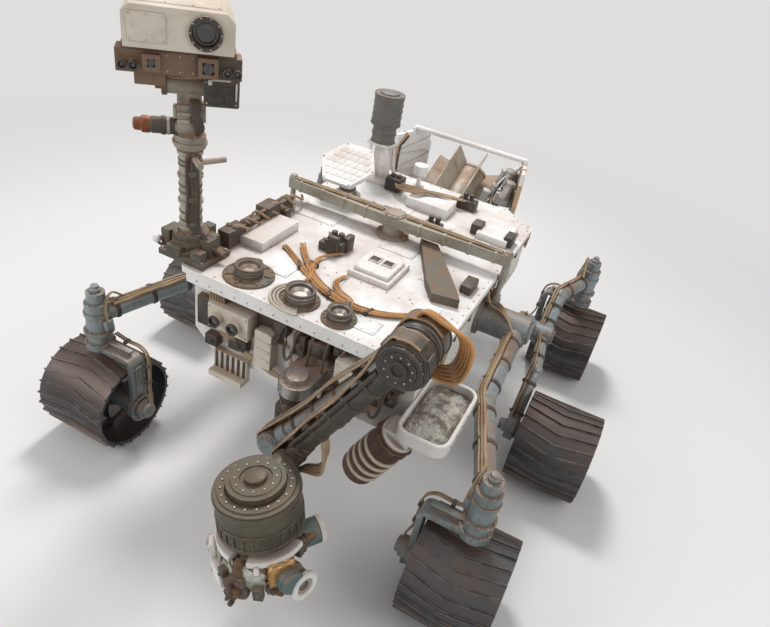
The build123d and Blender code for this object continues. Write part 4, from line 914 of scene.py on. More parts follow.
bolts.bolt_circle(place(0, ROCKER_PIVOT_Y, BAR_Z + 0.038), UP, 0.054, 10, 0.0035, 0.004)
for side in (-1, 1):
    for reach in (0.23, 0.37, 0.51):
        for level in (-0.016, 0.016):
            half = 0.052 - 0.029 * (reach - 0.06) / 0.6
            bolts.studs(place(side * reach, ROCKER_PIVOT_Y - half, BAR_Z + level), AHEAD, 0.004)
bolts.piece("bar_bolts", "chassis", BARE)
cables = Shell()
for aside in (-0.01, 0.006):
    for start, end in ((-0.61, -0.07), (0.07, 0.61)):
        line = [(x, ROCKER_PIVOT_Y + aside, BAR_Z + 0.0345 + 0.001 * sin(30 * x))
                for x in np.linspace(start, end, 9)]
        cables.cable(line, 0.006, 3)
cables.piece("bar_cables", "chassis", TAN_CABLE)


# Mast: harness down the tube, clamps, the foot's brackets, the white ball, the pan drive's copper end

mast = Shell()
for height in (1.3, 1.34, 1.435, 1.465, 1.56, 1.58):
    mast.band(0, 0.008, 0.046, 0.051, by_mast(0, 0, height), UP, 36)
for height in (1.3, 1.42, 1.54):
    mast.block(by_mast(0.04, -0.038, height), (0.05, 0.03, 0.022), 0.004, (1, -1, 0))
mast.hoop(((0, 0.047), (0, 0.079), (0.014, 0.081), (0.018, 0.073), (0.018, 0.047)),
          by_mast(0, 0, 1.226), UP, 40)
mast.band(0, 0.02, 0.074, 0.084, by_mast(0, 0, 1.19), UP, 40)
mast.block(by_mast(-0.115, 0, 1.17), (0.05, 0.09, 0.1), 0.006)
mast.block(by_mast(0.09, 0.04, 1.2), (0.05, 0.05, 0.07), 0.006)
for dx, dy, z, width, depth, height in (
        (0.1, -0.07, 1.165, 0.06, 0.05, 0.06), (-0.07, 0.09, 1.175, 0.07, 0.04, 0.08),
        (0.02, 0.1, 1.19, 0.05, 0.05, 0.1), (-0.02, -0.09, 1.165, 0.08, 0.03, 0.05)):
    mast.block(by_mast(dx, dy, z), (width, depth, height), 0.005)
mast.piece("mast_fittings", "chassis", OLIVE)
loops = Shell()
# columns: x and y of a cable of the harness, its radius
harness_table = ((0.046, -0.04, 0.011), (0.058, -0.022, 0.009), (0.03, -0.056, 0.008),
                 (0.062, -0.038, 0.007))
for number, (dx, dy, radius) in enumerate(harness_table):
    line = [(0.12 + 0.02 * number, 0.02, 1.15), (0.115, -0.01, 1.2), (0.085, -0.02, 1.25), (dx, dy, 1.3),
            (dx + 0.002, dy, 1.42), (dx - 0.001, dy - 0.001, 1.54), (dx, dy, 1.6),
            (dx + 0.012, dy - 0.004, 1.625)]
    loops.tube(smooth_line([by_mast(x, y, z) for x, y, z in line]), radius, 10)
loops.piece("mast_harness", "chassis", BLACK_CABLE)
ball = Shell()
ball_at = place(-0.8, -0.86, 1.165)
ball_arc = np.linspace(0, pi, 11)
ball.turned(np.stack((-0.021 * np.cos(ball_arc), 0.0005 + 0.021 * np.sin(ball_arc)), axis=-1),
            ball_at, UP, 20)
ball.piece("mast_ball", "chassis", DECK_WHITE)
stalk = Shell()
stalk_line = ((-0.74, -0.84, 1.135), (-0.78, -0.855, 1.138), (-0.8, -0.86, 1.15))
stalk.tube(smooth_line([place(*point) for point in stalk_line]), 0.007)
stalk.piece("mast_ball_stalk", "chassis", DARK)
bolts = Shell()
bolts.bolt_circle(by_mast(0, 0, 1.166), UP, 0.086, 12)
bolts.studs([place(MAST_X + 0.02 + dx, MAST_Y + dy, 1.148) for dx in (-0.11, 0.11)
             for dy in (-0.085, 0.085)], UP, 0.008, 0.007)
bolts.bolt_circle(by_mast(0, 0, 1.2435), UP, 0.064, 12, 0.004)
bolts.piece("mast_bolts", "chassis", BARE)


def panned(x, y, z):
    """A place on the head: x to the head's left of the mast, y behind it, turned as the head is at rest."""
    return place(MAST_X + cos(HEAD_PAN) * x - sin(HEAD_PAN) * y,
                 MAST_Y + sin(HEAD_PAN) * x + cos(HEAD_PAN) * y, z)


HEAD_X = np.array((cos(HEAD_PAN), sin(HEAD_PAN), 0))
HEAD_FORWARDS = np.array((sin(HEAD_PAN), -cos(HEAD_PAN), 0))
neck = Shell()
neck.turned(((0, 0.033), (0.006, 0.035), (0.03, 0.035), (0.036, 0.028), (0.06, 0.026), (0.066, 0.018)),
            panned(-0.156, 0, 1.722), -HEAD_X, 28)
neck.piece("pan_motor_end", "mast_pan", COPPER)
neck = Shell()
neck.hoop(((0.058, 0.03), (0.058, 0.0345), (0.15, 0.0345), (0.154, 0.03)), panned(0, 0, 1.722), -HEAD_X, 36)
neck.band(0.096, 0.112, 0.033, 0.0385, panned(0, 0, 1.722), -HEAD_X, 36)
for level in (1.765, 1.815):
    neck.block(panned(0.024, -0.036, level), (0.046, 0.02, 0.026), 0.003, HEAD_X)
neck.piece("pan_motor_sleeve", "mast_pan", DARK)
neck = Shell()
neck.band(0, 0.012, 0.062, 0.072, panned(0, 0, 1.655), UP, 40)
for level in (1.755, 1.785, 1.815):
    neck.block(panned(0.0, -0.032, level), (0.097, 0.014, 0.016), 0.003, HEAD_X)
neck.block(panned(0.054, 0.016, 1.785), (0.022, 0.05, 0.08), 0.004, HEAD_X)
neck.block(panned(-0.056, 0.0, 1.785), (0.018, 0.05, 0.05), 0.004, HEAD_X)
neck.band(-0.09, -0.078, 0.03, 0.037, panned(0, 0, 1.722), HEAD_X, 28)
neck.piece("neck_fittings", "mast_pan", MAST_GREY)
bolts = Shell()
bolts.bolt_circle(panned(0, 0, 1.6943), UP, 0.058, 12, 0.004)
bolts.studs([panned(x, -0.039, z) for x in (-0.042, 0.042) for z in (1.755, 1.785, 1.815)], HEAD_FORWARDS,
            0.004, 0.003)
bolts.piece("neck_bolts", "mast_pan", BARE)
cables = Shell()
for number in range(4):
    line = ((0.03, -0.03, 1.7), (0.024 + 0.01 * number, -0.048, 1.735),
            (0.012 + 0.009 * number, -0.05, 1.79), (0.008 + 0.009 * number, -0.045, 1.835),
            (0.004 + 0.009 * number, -0.02, 1.848))
    cables.cable(line, 0.006, at=panned)
cables.piece("neck_cables", "mast_pan", BLACK_CABLE)


# Head: the laser's window and hood, the cameras' lenses, panels, plates, brackets, screws and cables

HEAD_SHIFT, HEAD_TOP = -0.03, 2.211
LASER_FACE = 0.13 - 0.33
WINDOW_X, WINDOW_Z = HEAD_SHIFT + 0.092, (2.068 + HEAD_TOP) / 2
SMALL_LENSES = (-0.2, -0.162, 0.17, 0.206)
glass, dark = Shell(), Shell()
glass_arc = np.linspace(0, 1, 7)
glass.turned([(0.004 - 0.003 * t * t, 0.0465 * t + 0.0005) for t in glass_arc[::-1]] + [(-0.004, 0.0465)],
             panned(WINDOW_X, LASER_FACE + 0.004, WINDOW_Z), HEAD_FORWARDS, 40)
# columns: x, y, z, radius of the lens, sides
for x, y, z, size, sides in (
        (-0.1, -0.188, 2.014, 0.013, 28), (0.1, -0.192, 2.014, 0.02, 28),
        *((x, -0.186, 2.002, 0.011, 24) for x in SMALL_LENSES)):
    glass.turned([(0.003 - 0.003 * t * t, size * t + 0.0003) for t in glass_arc[::-1]] + [(-0.003, size)],
                 panned(HEAD_SHIFT + x, y, z), HEAD_FORWARDS, sides)
glass.piece("head_glass", "camera_head", GLASS)
dark.hoop(((-0.004, 0.0485), (0.015, 0.049), (0.015, 0.0595), (0.012, 0.06), (-0.004, 0.06)),
          panned(WINDOW_X, LASER_FACE, WINDOW_Z), HEAD_FORWARDS, 48)
dark.hoop(((0.002, 0.034), (0.004, 0.038), (0.009, 0.038), (0.009, 0.034)),
          panned(WINDOW_X, LASER_FACE, WINDOW_Z), HEAD_FORWARDS, 40)
for x in SMALL_LENSES:
    dark.band(0.0, 0.01, 0.0125, 0.0175, panned(HEAD_SHIFT + x, -0.184, 2.002), HEAD_FORWARDS, 24)
dark.piece("head_hoods", "camera_head", DARK)
head = Shell()
head.block(panned(HEAD_SHIFT - 0.11, LASER_FACE - 0.0015, WINDOW_Z), (0.13, 0.006, 0.1), 0.002, HEAD_X)
head.block(panned(HEAD_SHIFT, -0.03, HEAD_TOP + 0.0005), (0.3, 0.22, 0.005), 0.002, HEAD_X)
for x in (-0.194, 0.194):
    head.block(panned(HEAD_SHIFT + x, -0.035, WINDOW_Z - 0.01), (0.006, 0.26, 0.09), 0.002, HEAD_X)
head.piece("laser_box_panels", "camera_head", BEIGE)
plates = Shell()
# Dark plates on the camera bar and the box that hangs from it: columns x from the box's middle, y, z, size
for x, y, z, size in (
        (-0.01, -0.1595, 2.01, (0.164, 0.003, 0.074)), (0.0, -0.1475, 1.915, (0.129, 0.003, 0.102)),
        (0.0675, -0.104, 1.915, (0.003, 0.08, 0.102)), (0.0, -0.104, 1.8605, (0.129, 0.08, 0.003)),
        (0.0, -0.0605, 1.915, (0.129, 0.003, 0.102)), (-0.035, -0.152, 1.93, (0.032, 0.012, 0.024)),
        (0.018, -0.152, 1.936, (0.044, 0.01, 0.016)), (0.03, -0.152, 1.898, (0.026, 0.014, 0.036)),
        (-0.02, -0.151, 1.89, (0.05, 0.008, 0.02))):
    plates.block(panned(HEAD_SHIFT + 0.15 + x, y, z), size, 0.001, HEAD_X)
plates.piece("camera_box_plates", "camera_head", DARK)
brackets = Shell()
brackets.block(panned(HEAD_SHIFT + 0.15, -0.154, 1.967), (0.07, 0.01, 0.009), 0.002, HEAD_X)
brackets.block(panned(HEAD_SHIFT + 0.108, -0.152, 1.955), (0.016, 0.008, 0.022), 0.002, HEAD_X)
brackets.block(panned(HEAD_SHIFT + 0.206, -0.152, 1.925), (0.008, 0.008, 0.07), 0.002, HEAD_X)
brackets.piece("camera_box_brackets", "camera_head", BARE)
bolts = Shell()
bolts.studs([panned(HEAD_SHIFT - 0.11 + x, LASER_FACE - 0.0045, WINDOW_Z + z)
             for x in (-0.058, 0, 0.058) for z in (-0.043, 0.043)], HEAD_FORWARDS, 0.0032, 0.003)
bolts.studs([panned(HEAD_SHIFT + x, y, HEAD_TOP + 0.003)
             for x in (-0.14, -0.047, 0.047, 0.14) for y in (-0.13, 0.07)], UP, 0.0035, 0.003)
bolts.bolt_circle(panned(WINDOW_X, LASER_FACE - 0.015, WINDOW_Z), HEAD_FORWARDS, 0.0545, 10, 0.003, 0.002)
bolts.studs([panned(HEAD_SHIFT + x, -0.158, z) for x in (-0.045, 0.0, 0.045) for z in (1.985, 2.04)],
            HEAD_FORWARDS, 0.0035, 0.003)
bolts.studs([panned(HEAD_SHIFT + 0.15 + x, -0.149, z) for x in (-0.055, 0.055) for z in (1.875, 1.955)],
            HEAD_FORWARDS, 0.0035, 0.003)
bolts.piece("head_screws", "camera_head", BARE)
cables = Shell()
for number in range(4):
    line = ((-0.06 - 0.012 * number, -0.06, 1.972), (-0.07 - 0.012 * number, -0.075, 1.955),
            (-0.05, -0.085, 1.945), (0.01, -0.088, 1.948 + 0.004 * number), (0.07, -0.084, 1.955),
            (0.088, -0.078, 1.965))
    cables.cable(line, 0.006, at=panned)
for number in range(3):
    line = ((-0.17 - 0.012 * number, 0.075, 2.055), (-0.18 - 0.012 * number, 0.1, 2.052),
            (-0.15, 0.12, 2.055), (-0.05, 0.125, 2.052 - 0.004 * number), (0.02, 0.1, 2.054))
    cables.tube(smooth_line([panned(HEAD_SHIFT + x, y - 0.02, z - 0.012) for x, y, z in line]), 0.006, 8)
cables.piece("head_cables", "camera_head", TAN_CABLE)


# Arm: rings and bolts on the drums, clamps, the flat harness from drum to drum, the turret's fittings

SHOULDER = (0.1, -1.02)
UPPER_PLANE, FOREARM_PLANE, TURRET_PLANE = -1.15, -1.29, -1.508
SHOULDER_AT, ELBOW_AT, WRIST_AT = (0.1, 0.62), (0.64, 1.43), (0.255, 0.74)
ELBOW_DRUM = 0.088
FORWARDS = np.array(AHEAD, float)


def on_drum(at, plane):
    """The point where the axis of a drum goes through a plane of the arm."""
    return place(at[0], plane, at[1])


def limb(start_at, end_at, plane):
    """Where a tube of the arm starts, the direction it runs in and the direction out of its upper side."""
    start = on_drum(start_at, plane)
    run = unit(on_drum(end_at, plane) - start)
    over = np.cross(run, FORWARDS)
    return (start, run, over if over[2] > 0 else -over)


def drum_trim(shell, bolts, x, z, back, front, radius):
    """Raised bands near both ends of a drum that lies fore and aft, and bolts round its front face."""
    centre = place(x, 0, z)
    for at, width in ((back - 0.012, 0.01), (front + 0.012, 0.01)):
        shell.band(-at - width / 2, -at + width / 2, radius - 0.003, radius + 0.004, centre, FORWARDS, 40)
    bolts.bolt_circle(place(x, front, z), FORWARDS, radius - 0.009, 14, 0.004, 0.004)


bands, bolts = Shell(), Shell()
drum_trim(bands, bolts, *SHOULDER_AT, UPPER_PLANE + 0.05, UPPER_PLANE - 0.05, 0.065)
drum_trim(bands, bolts, *ELBOW_AT, UPPER_PLANE + 0.05, UPPER_PLANE - 0.046, ELBOW_DRUM)
bolts.bolt_circle(on_drum(SHOULDER_AT, UPPER_PLANE - 0.066), FORWARDS, 0.036, 8, 0.0035, 0.003)
upper_low, upper_run, upper_over = limb(SHOULDER_AT, ELBOW_AT, UPPER_PLANE)
for reach in (0.2, 0.35, 0.5, 0.65, 0.78):
    centre = upper_low + reach * upper_run
    bands.band(-0.008, 0.008, 0.038, 0.047, centre, upper_run, 32)
    bands.block(centre + upper_over * 0.052, (0.05, 0.022, 0.016), 0.004, FORWARDS, upper_over)
bands.piece("upper_arm_bands", "upper_arm", DARK)
bolts.piece("upper_arm_bolts", "upper_arm", BARE)

bands, bolts = Shell(), Shell()
drum_trim(bands, bolts, *ELBOW_AT, FOREARM_PLANE + 0.08, FOREARM_PLANE - 0.046, ELBOW_DRUM)
drum_trim(bands, bolts, *WRIST_AT, FOREARM_PLANE + 0.046, FOREARM_PLANE - 0.04, 0.054)
bolts.bolt_circle(on_drum(ELBOW_AT, FOREARM_PLANE - 0.06), FORWARDS, 0.05, 10, 0.0035, 0.003)
fore_high, fore_run, fore_over = limb(ELBOW_AT, WRIST_AT, FOREARM_PLANE)
for reach in (0.19, 0.31, 0.43, 0.55, 0.66):
    centre = fore_high + reach * fore_run
    bands.band(-0.008, 0.008, 0.032, 0.041, centre, fore_run, 32)
    bands.block(centre + fore_over * 0.048, (0.07, 0.022, 0.018), 0.004, FORWARDS, fore_over)
for offset in (-0.03, 0.03):
    start = fore_high + 0.1 * fore_run + offset * np.array((0, 1, 0)) + fore_over * 0.034
    bands.tube(between(start, start + 0.6 * fore_run, 3), 0.01, 10)
bands.piece("forearm_bands", "forearm", DARK)
bolts.piece("forearm_bolts", "forearm", BARE)


RIBBON = np.array(((-1, -1), (-0.9, -1.15), (0.9, -1.15), (1, -1), (1, 1), (0.9, 1.15), (-0.9, 1.15),
                   (-1, 1)))
RIBBON_THICKNESS = 0.006


def flat_harness(name, body, line, width):
    """A flat ribbon of wires, its width fore and aft, with a rounded tan cord along each edge."""
    harness, edges = Shell(), Shell()
    line = smooth_line(line, 6)
    rise = unit(np.cross(unit(np.gradient(line, axis=0)), FORWARDS))
    harness.grid(line[:, None] + RIBBON[None, :, :1] * FORWARDS * width / 2
                 + RIBBON[None, :, 1:] * rise[:, None] * RIBBON_THICKNESS / 2)
    for offset in (-0.53, 0.53):
        edges.tube(line + offset * width * FORWARDS, 0.0045, 8)
    harness.piece(name, body, DARK_RIBBON)
    edges.piece(name + "_edges", body, TAN_CABLE)


def round_axis(at, plane, radius, start, end, count):
    """Points on an arc round a drum's axis; angles run from +X towards up."""
    angle = np.radians(np.linspace(start, end, count))
    return [place(at[0] + radius * cos(a), plane, at[1] + radius * sin(a)) for a in angle]


line = (round_axis(ELBOW_AT, FOREARM_PLANE, 0.098, 60, 130, 4)
        + [fore_high + reach * fore_run + fore_over * (0.062 + 0.005 * sin(14 * reach))
           for reach in (0.16, 0.26, 0.36, 0.46, 0.56, 0.66)]
        + round_axis(WRIST_AT, FOREARM_PLANE, 0.064, 150, 250, 4))
flat_harness("forearm_harness", "forearm", line, 0.06)
line = (round_axis(SHOULDER_AT, UPPER_PLANE, 0.075, 200, 150, 3)
        + [upper_low + reach * upper_run + upper_over * (0.064 + 0.005 * sin(15 * reach))
           for reach in (0.12, 0.24, 0.36, 0.48, 0.6, 0.72, 0.82)]
        + round_axis(ELBOW_AT, UPPER_PLANE, 0.098, 140, 40, 4))
flat_harness("upper_arm_harness", "upper_arm", line, 0.058)
loops = Shell()
for number in range(5):
    out = 0.03 + 0.013 * number
    # columns: distance from the elbow's axis, first and last angle, count of points
    arcs = ((0.08, 118, 118, 1), (0.098 + 0.3 * out, 96, 62, 2), (0.1 + out, 25, -35, 3),
            (0.098 + 0.3 * out, -72, -94, 2), (0.078, -112, -112, 1))
    plane = UPPER_PLANE + 0.02 - 0.01 * number
    line = [point for arc in arcs for point in round_axis(ELBOW_AT, plane, *arc)]
    loops.tube(smooth_line(line, 6), 0.0075, 8)
loops.piece("elbow_cable_loops", "upper_arm", ORANGE_CABLE)
loops = Shell()
for number in range(4):
    start = fore_high + 0.56 * fore_run - fore_over * 0.03 + (0.012 * number - 0.02) * FORWARDS
    plane = FOREARM_PLANE - 0.012 * number + 0.02
    line = (start, start + 0.06 * fore_run - 0.05 * fore_over,
            start + 0.15 * fore_run - (0.075 + 0.008 * number) * fore_over,
            *round_axis(WRIST_AT, plane, 0.074, -20, -100, 3),
            *round_axis(WRIST_AT, plane, 0.046, -125, -125, 1))
    loops.tube(smooth_line(line, 6), 0.007, 8)
loops.piece("wrist_cable_loops", "forearm", TAN_CABLE)
elbow_face = Shell()
elbow_face.hoop(((0, 0.062), (0, 0.082), (0.01, 0.08), (0.012, 0.07), (0.01, 0.062)),
                on_drum(ELBOW_AT, FOREARM_PLANE - 0.046), FORWARDS, 48)
elbow_face.band(0, 0.009, 0.024, 0.034, on_drum(ELBOW_AT, FOREARM_PLANE - 0.06), FORWARDS, 32)
for angle in range(20, 360, 60):
    outward = np.array((cos(radians(angle)), 0, sin(radians(angle))))
    elbow_face.block(on_drum(ELBOW_AT, FOREARM_PLANE) + 0.091 * outward, (0.06, 0.052, 0.012), 0.004,
                     FORWARDS, outward)
elbow_face.piece("elbow_face", "forearm", DARK)

shoulder, bolts = Shell(), Shell()
for level in (0.6, 0.7, 0.76):
    shoulder.band(0, 0.012, 0.058, 0.066, place(*SHOULDER, level), UP, 40)
shoulder.block(place(SHOULDER[0] - 0.066, SHOULDER[1], 0.67), (0.03, 0.06, 0.1), 0.006)
shoulder.turned(((0, 0.05), (0.012, 0.046), (0.014, 0.03)), place(*SHOULDER, 0.552), DOWN, 36)
shoulder.piece("shoulder_bands", "arm_base", DARK)
bolts.bolt_circle(place(*SHOULDER, 0.7977 - 0.022), DOWN, 0.066, 12, 0.004)
bolts.piece("shoulder_bolts", "arm_base", BARE)
bracket = Shell()
bracket.studs([on_front(SHOULDER[0] + dx, 0.03, 0.83 + dz)
               for dx in (-0.1, 0.1) for dz in (-0.07, 0, 0.07)], AHEAD, 0.007, 0.006)
bracket.bolt_circle(place(*SHOULDER, 0.88), UP, 0.062, 12, 0.0045, 0.005)
bracket.bolt_circle(place(*SHOULDER, 0.91), UP, 0.038, 8, 0.004, 0.004)
bracket.piece("shoulder_bracket_bolts", "chassis", BARE)

TURRET_TILT = radians(10)
turret_down = np.array((sin(TURRET_TILT), 0, -cos(TURRET_TILT)))
turret_side = np.array((cos(TURRET_TILT), 0, sin(TURRET_TILT)))
wrist_point = on_drum(WRIST_AT, TURRET_PLANE)
DRUM_BELOW = 0.148
drum, bolts = Shell(), Shell()
# columns: section of a ring on the wrist's drum, sides
for section, sides in (
        (((-0.03, 0.16), (-0.03, 0.168), (-0.018, 0.1685), (-0.018, 0.16)), 72),
        (((0.06, 0.16), (0.062, 0.168), (0.072, 0.168), (0.074, 0.16)), 72),
        (((0.128, 0.16), (0.13, 0.1685), (0.146, 0.1685), (0.148, 0.16)), 72),
        (((-0.0395, 0.116), (-0.048, 0.118), (-0.048, 0.146), (-0.0395, 0.15)), 64),
        (((-0.0735, 0.06), (-0.08, 0.062), (-0.08, 0.092), (-0.0735, 0.096)), 56)):
    drum.hoop(section, wrist_point, turret_down, sides)
drum.turned(((-0.0735, 0.044), (-0.092, 0.042), (-0.096, 0.034)), wrist_point, turret_down, 40)
drum.piece("wrist_rings", "wrist", DRUM)
bolts.bolt_circle(wrist_point - 0.048 * turret_down, -turret_down, 0.132, 20, 0.005, 0.005)
bolts.bolt_circle(wrist_point - 0.08 * turret_down, -turret_down, 0.077, 12, 0.0045, 0.004)
bolts.piece("wrist_bolts", "wrist", BARE)
fins = Shell()
for turn in np.arange(28) * tau / 28:
    outward = cos(turn) * turret_side + sin(turn) * FORWARDS
    fins.block(wrist_point + 0.1 * turret_down + outward * 0.1655, (0.006, 0.008, 0.05), 0.0015,
               np.cross(outward, turret_down), turret_down)
fins.piece("wrist_ribs", "wrist", DRUM)

HUB_TOP = wrist_point + (DRUM_BELOW + 0.0163) * turret_down
TOOLS = HUB_TOP + 0.15 * turret_down


def tool_way(angle):
    """The direction out from the turret's axis, the angle counted from ahead towards the rover's left."""
    return cos(radians(angle)) * FORWARDS + sin(radians(angle)) * turret_side


def tool(angle, reach, level=0.0):
    """A place beside the turret's axis."""
    return TOOLS + reach * tool_way(angle) + level * turret_down


ends, bolts = Shell(), Shell()
for angle in range(0, 360, 72):
    way = tool_way(angle)
    bolts.bolt_circle(tool(angle, 0.118), way, 0.05, 8, 0.004)
    ends.band(0, 0.008, 0.04, 0.054, tool(angle, 0.108), way, 32)
bolts.bolt_circle(HUB_TOP + 0.026 * turret_down, turret_down, 0.097, 16, 0.0045, 0.004)
ends.band(0.226, 0.238, 0.06, 0.092, HUB_TOP, turret_down, 44)
ends.turned(((0.24, 0.05), (0.262, 0.046), (0.266, 0.036)), HUB_TOP, turret_down, 32)
ends.piece("turret_rings", "turret", DARK)
bolts.piece("turret_bolts", "turret", BARE)

darks = Shell()
for reach in (0.14, 0.185):
    darks.band(0, 0.01, 0.052, 0.06, tool(0, reach), FORWARDS, 36)
for level in (-0.044, 0.044):
    darks.turned(((0, 0.009), (0.004, 0.011), (0.02, 0.011), (0.024, 0.008)), tool(0, 0.218, level),
                 FORWARDS, 16)
darks.turned(((0.0, 0.01), (0.01, 0.0095), (0.018, 0.004)), tool(0, 0.236), FORWARDS, 12)
for angle, reach in ((72, 0.19), (144, 0.2)):
    darks.band(0, 0.012, 0.044, 0.051, tool(angle, reach - 0.035), tool_way(angle), 32)
darks.piece("turret_tool_rings", "turret", DARK)

whites = Shell()
whites.hoop(((-0.014, 0.036), (-0.014, 0.058), (0.004, 0.061), (0.01, 0.054), (0.008, 0.038),
             (0.002, 0.034)), tool(72, 0.24), tool_way(72), 48)
CRESCENT = np.array(((0.118, -0.136), (0.176, -0.136), (0.181, -0.132), (0.181, -0.114), (0.176, -0.11),
                     (0.118, -0.11)))
for start, end in ((16, 92), (292, 352)):
    outward = rays(np.radians(np.linspace(start, end, 16)), FORWARDS, turret_side)
    whites.grid(TOOLS + CRESCENT[None, :, :1] * outward[:, None] + CRESCENT[None, :, 1:] * turret_down)
whites.block(tool(312, 0.188, -0.07), (0.036, 0.016, 0.11), 0.005, tool_way(42), turret_down)
whites.block(tool(28, 0.188, -0.088), (0.02, 0.014, 0.07), 0.005, tool_way(118), turret_down)
whites.hoop(((0, 0.036), (0, 0.0565), (0.018, 0.0565), (0.022, 0.05), (0.022, 0.036)), tool(144, 0.224),
            tool_way(144), 40)
whites.block(tool(330, 0.175, 0.0), (0.09, 0.07, 0.085), 0.01, tool_way(60), turret_down)
whites.block(tool(300, 0.19, -0.03), (0.06, 0.05, 0.09), 0.01, tool_way(30), turret_down)
whites.piece("turret_white_brackets", "turret", WHITE)

blues = Shell()
can_at, can_way = tool(55, 0.13, -0.045), tool_way(70)
blues.turned(((0, 0.04), (0.006, 0.046), (0.11, 0.046), (0.118, 0.04)), can_at, can_way, 36)
blues.band(0.028, 0.036, 0.044, 0.05, can_at, can_way, 36)
blues.band(0.086, 0.094, 0.044, 0.05, can_at, can_way, 36)
blues.hoop(((0.118, 0.047), (0.118, 0.055), (0.15, 0.056), (0.222, 0.056), (0.224, 0.047)), tool(144, 0.0),
           tool_way(144), 40)
blues.piece("turret_blue_can", "turret", BLUE_GREY)

crinkle_u = np.linspace(0, 1, 30)[:, None]
crinkle_v = (np.arange(44) * tau / 44)[None, :]
crinkle = 0.0045 * (np.abs(np.sin(4 * crinkle_v + 9 * crinkle_u + 2 * np.sin(7 * crinkle_u)))
                    + np.abs(np.sin(3 * crinkle_v - 13 * crinkle_u + 2 * np.sin(2 * crinkle_v)))
                    + 0.7 * np.abs(np.sin(7 * crinkle_v + 17 * crinkle_u)) - 1.2)
swell = np.clip(1 - (2 * crinkle_u - 1) ** 10, 0.03, 1) ** 0.5
SQUARENESS = 6.0


def foil_wrap(shell, start, way, length, radius):
    """A foil wrap round a boxy tool. The section is (|cos|^n + |sin|^n)^(-1/n), a rounded square, with
    flattened ends and creases from crossed sine waves."""
    square = ((np.abs(np.cos(crinkle_v)) ** SQUARENESS
               + np.abs(np.sin(crinkle_v)) ** SQUARENESS) ** (-1 / SQUARENESS))
    reach = 0.86 * radius * square * swell + 1.25 * crinkle
    shell.grid(start + (length * crinkle_u)[..., None] * way
               + reach[..., None] * rays(crinkle_v, *cross_frame(way)))


wraps = Shell()
foil_wrap(wraps, tool(52, 0.09, -0.066), tool_way(60), 0.112, 0.06)
wraps.piece("turret_foil", "turret", FOIL, sharp=14)
wraps = Shell()
foil_wrap(wraps, tool(16, 0.08, -0.052), tool_way(20), 0.118, 0.064)
foil_wrap(wraps, tool(350, 0.09, -0.04), tool_way(344), 0.095, 0.054)
foil_wrap(wraps, tool(322, 0.09, -0.05), tool_way(316), 0.095, 0.05)
wraps.piece("turret_pale_foil", "turret", PALE_FOIL, sharp=14)
clutter = Shell()
# columns: angle, reach, level, width, depth, height
for angle, reach, level, width, depth, height in (
        (8, 0.196, -0.06, 0.05, 0.036, 0.044), (28, 0.205, -0.01, 0.04, 0.03, 0.06),
        (45, 0.16, 0.02, 0.05, 0.04, 0.05), (316, 0.19, 0.03, 0.04, 0.034, 0.052),
        (344, 0.19, -0.055, 0.034, 0.04, 0.04), (100, 0.15, -0.055, 0.05, 0.04, 0.04),
        (172, 0.14, -0.04, 0.06, 0.04, 0.06), (196, 0.14, 0.02, 0.05, 0.04, 0.07),
        (250, 0.15, -0.03, 0.06, 0.04, 0.06)):
    clutter.block(tool(angle, reach, level), (width, depth, height), 0.004, tool_way(angle + 80),
                  turret_down)
    clutter.studs(tool(angle, reach + 0.45 * depth, level), tool_way(angle), 0.008, 0.01)
clutter.piece("turret_brackets", "turret", OLIVE, "dark_paint")
motors = Shell()
# columns: angle, reach, level, radius, length, lean of the axis from the outward direction
for angle, reach, level, radius, length, lean in (
        (2, 0.15, -0.1, 0.024, 0.06, 20), (36, 0.15, 0.03, 0.02, 0.07, 60),
        (300, 0.15, 0.01, 0.026, 0.08, -30), (340, 0.165, 0.045, 0.018, 0.06, 70),
        (120, 0.13, -0.02, 0.024, 0.08, 40), (230, 0.13, 0.0, 0.028, 0.09, 20)):
    profile = ((0, 0.8), (0.004, 1), (0.4 * length, 1), (0.42 * length, 1.15), (0.55 * length, 1.15),
               (0.57 * length, 0.9), (length, 0.9), (length + 0.004, 0.6))
    motors.turned([(along, out * radius) for along, out in profile], tool(angle, reach, level),
                  tool_way(angle + lean), 20)
motors.piece("turret_motors", "turret", TOOL_BROWN)
cables = Shell()
for number in range(6):
    angle = 20 + 55 * number
    line = ((angle, 0.088, -0.1), (angle + 12, 0.118, -0.085), (angle + 26, 0.13, -0.05),
            (angle + 38, 0.112, -0.03), (angle + 48, 0.094, -0.045))
    cables.cable(line, 0.006, at=tool)
    line = ((angle + 5, 0.086, 0.06), (angle + 18, 0.112, 0.065), (angle + 34, 0.108, 0.05),
            (angle + 44, 0.086, 0.07))
    cables.cable(line, 0.005, at=tool)
cables.piece("turret_cables", "turret", TAN_CABLE)


# Tray and barrel: a rounded rim and a speckled heap in the tray, a brown sleeve with hoops on the barrel,
# the hoops coloured pale as a painted highlight on their ribs

TRAY_WIDTH, TRAY_LENGTH, TRAY_FLOOR, TRAY_HEIGHT = 0.23, 0.43, 0.83, 0.06
TRAY_X, TRAY_Y = CHASSIS_HALF + TRAY_WIDTH / 2, CHASSIS_FRONT - 0.19 + TRAY_LENGTH / 2
BARREL_TILT, BARREL_LENGTH, BARREL_RADIUS = radians(27), 0.35, 0.08
barrel_lean = np.array((sin(BARREL_TILT), 0, cos(BARREL_TILT)))
barrel_top = on_front(0.59, 0.1, TRAY_FLOOR - BARREL_RADIUS * sin(BARREL_TILT))
barrel_foot = barrel_top - BARREL_LENGTH * barrel_lean


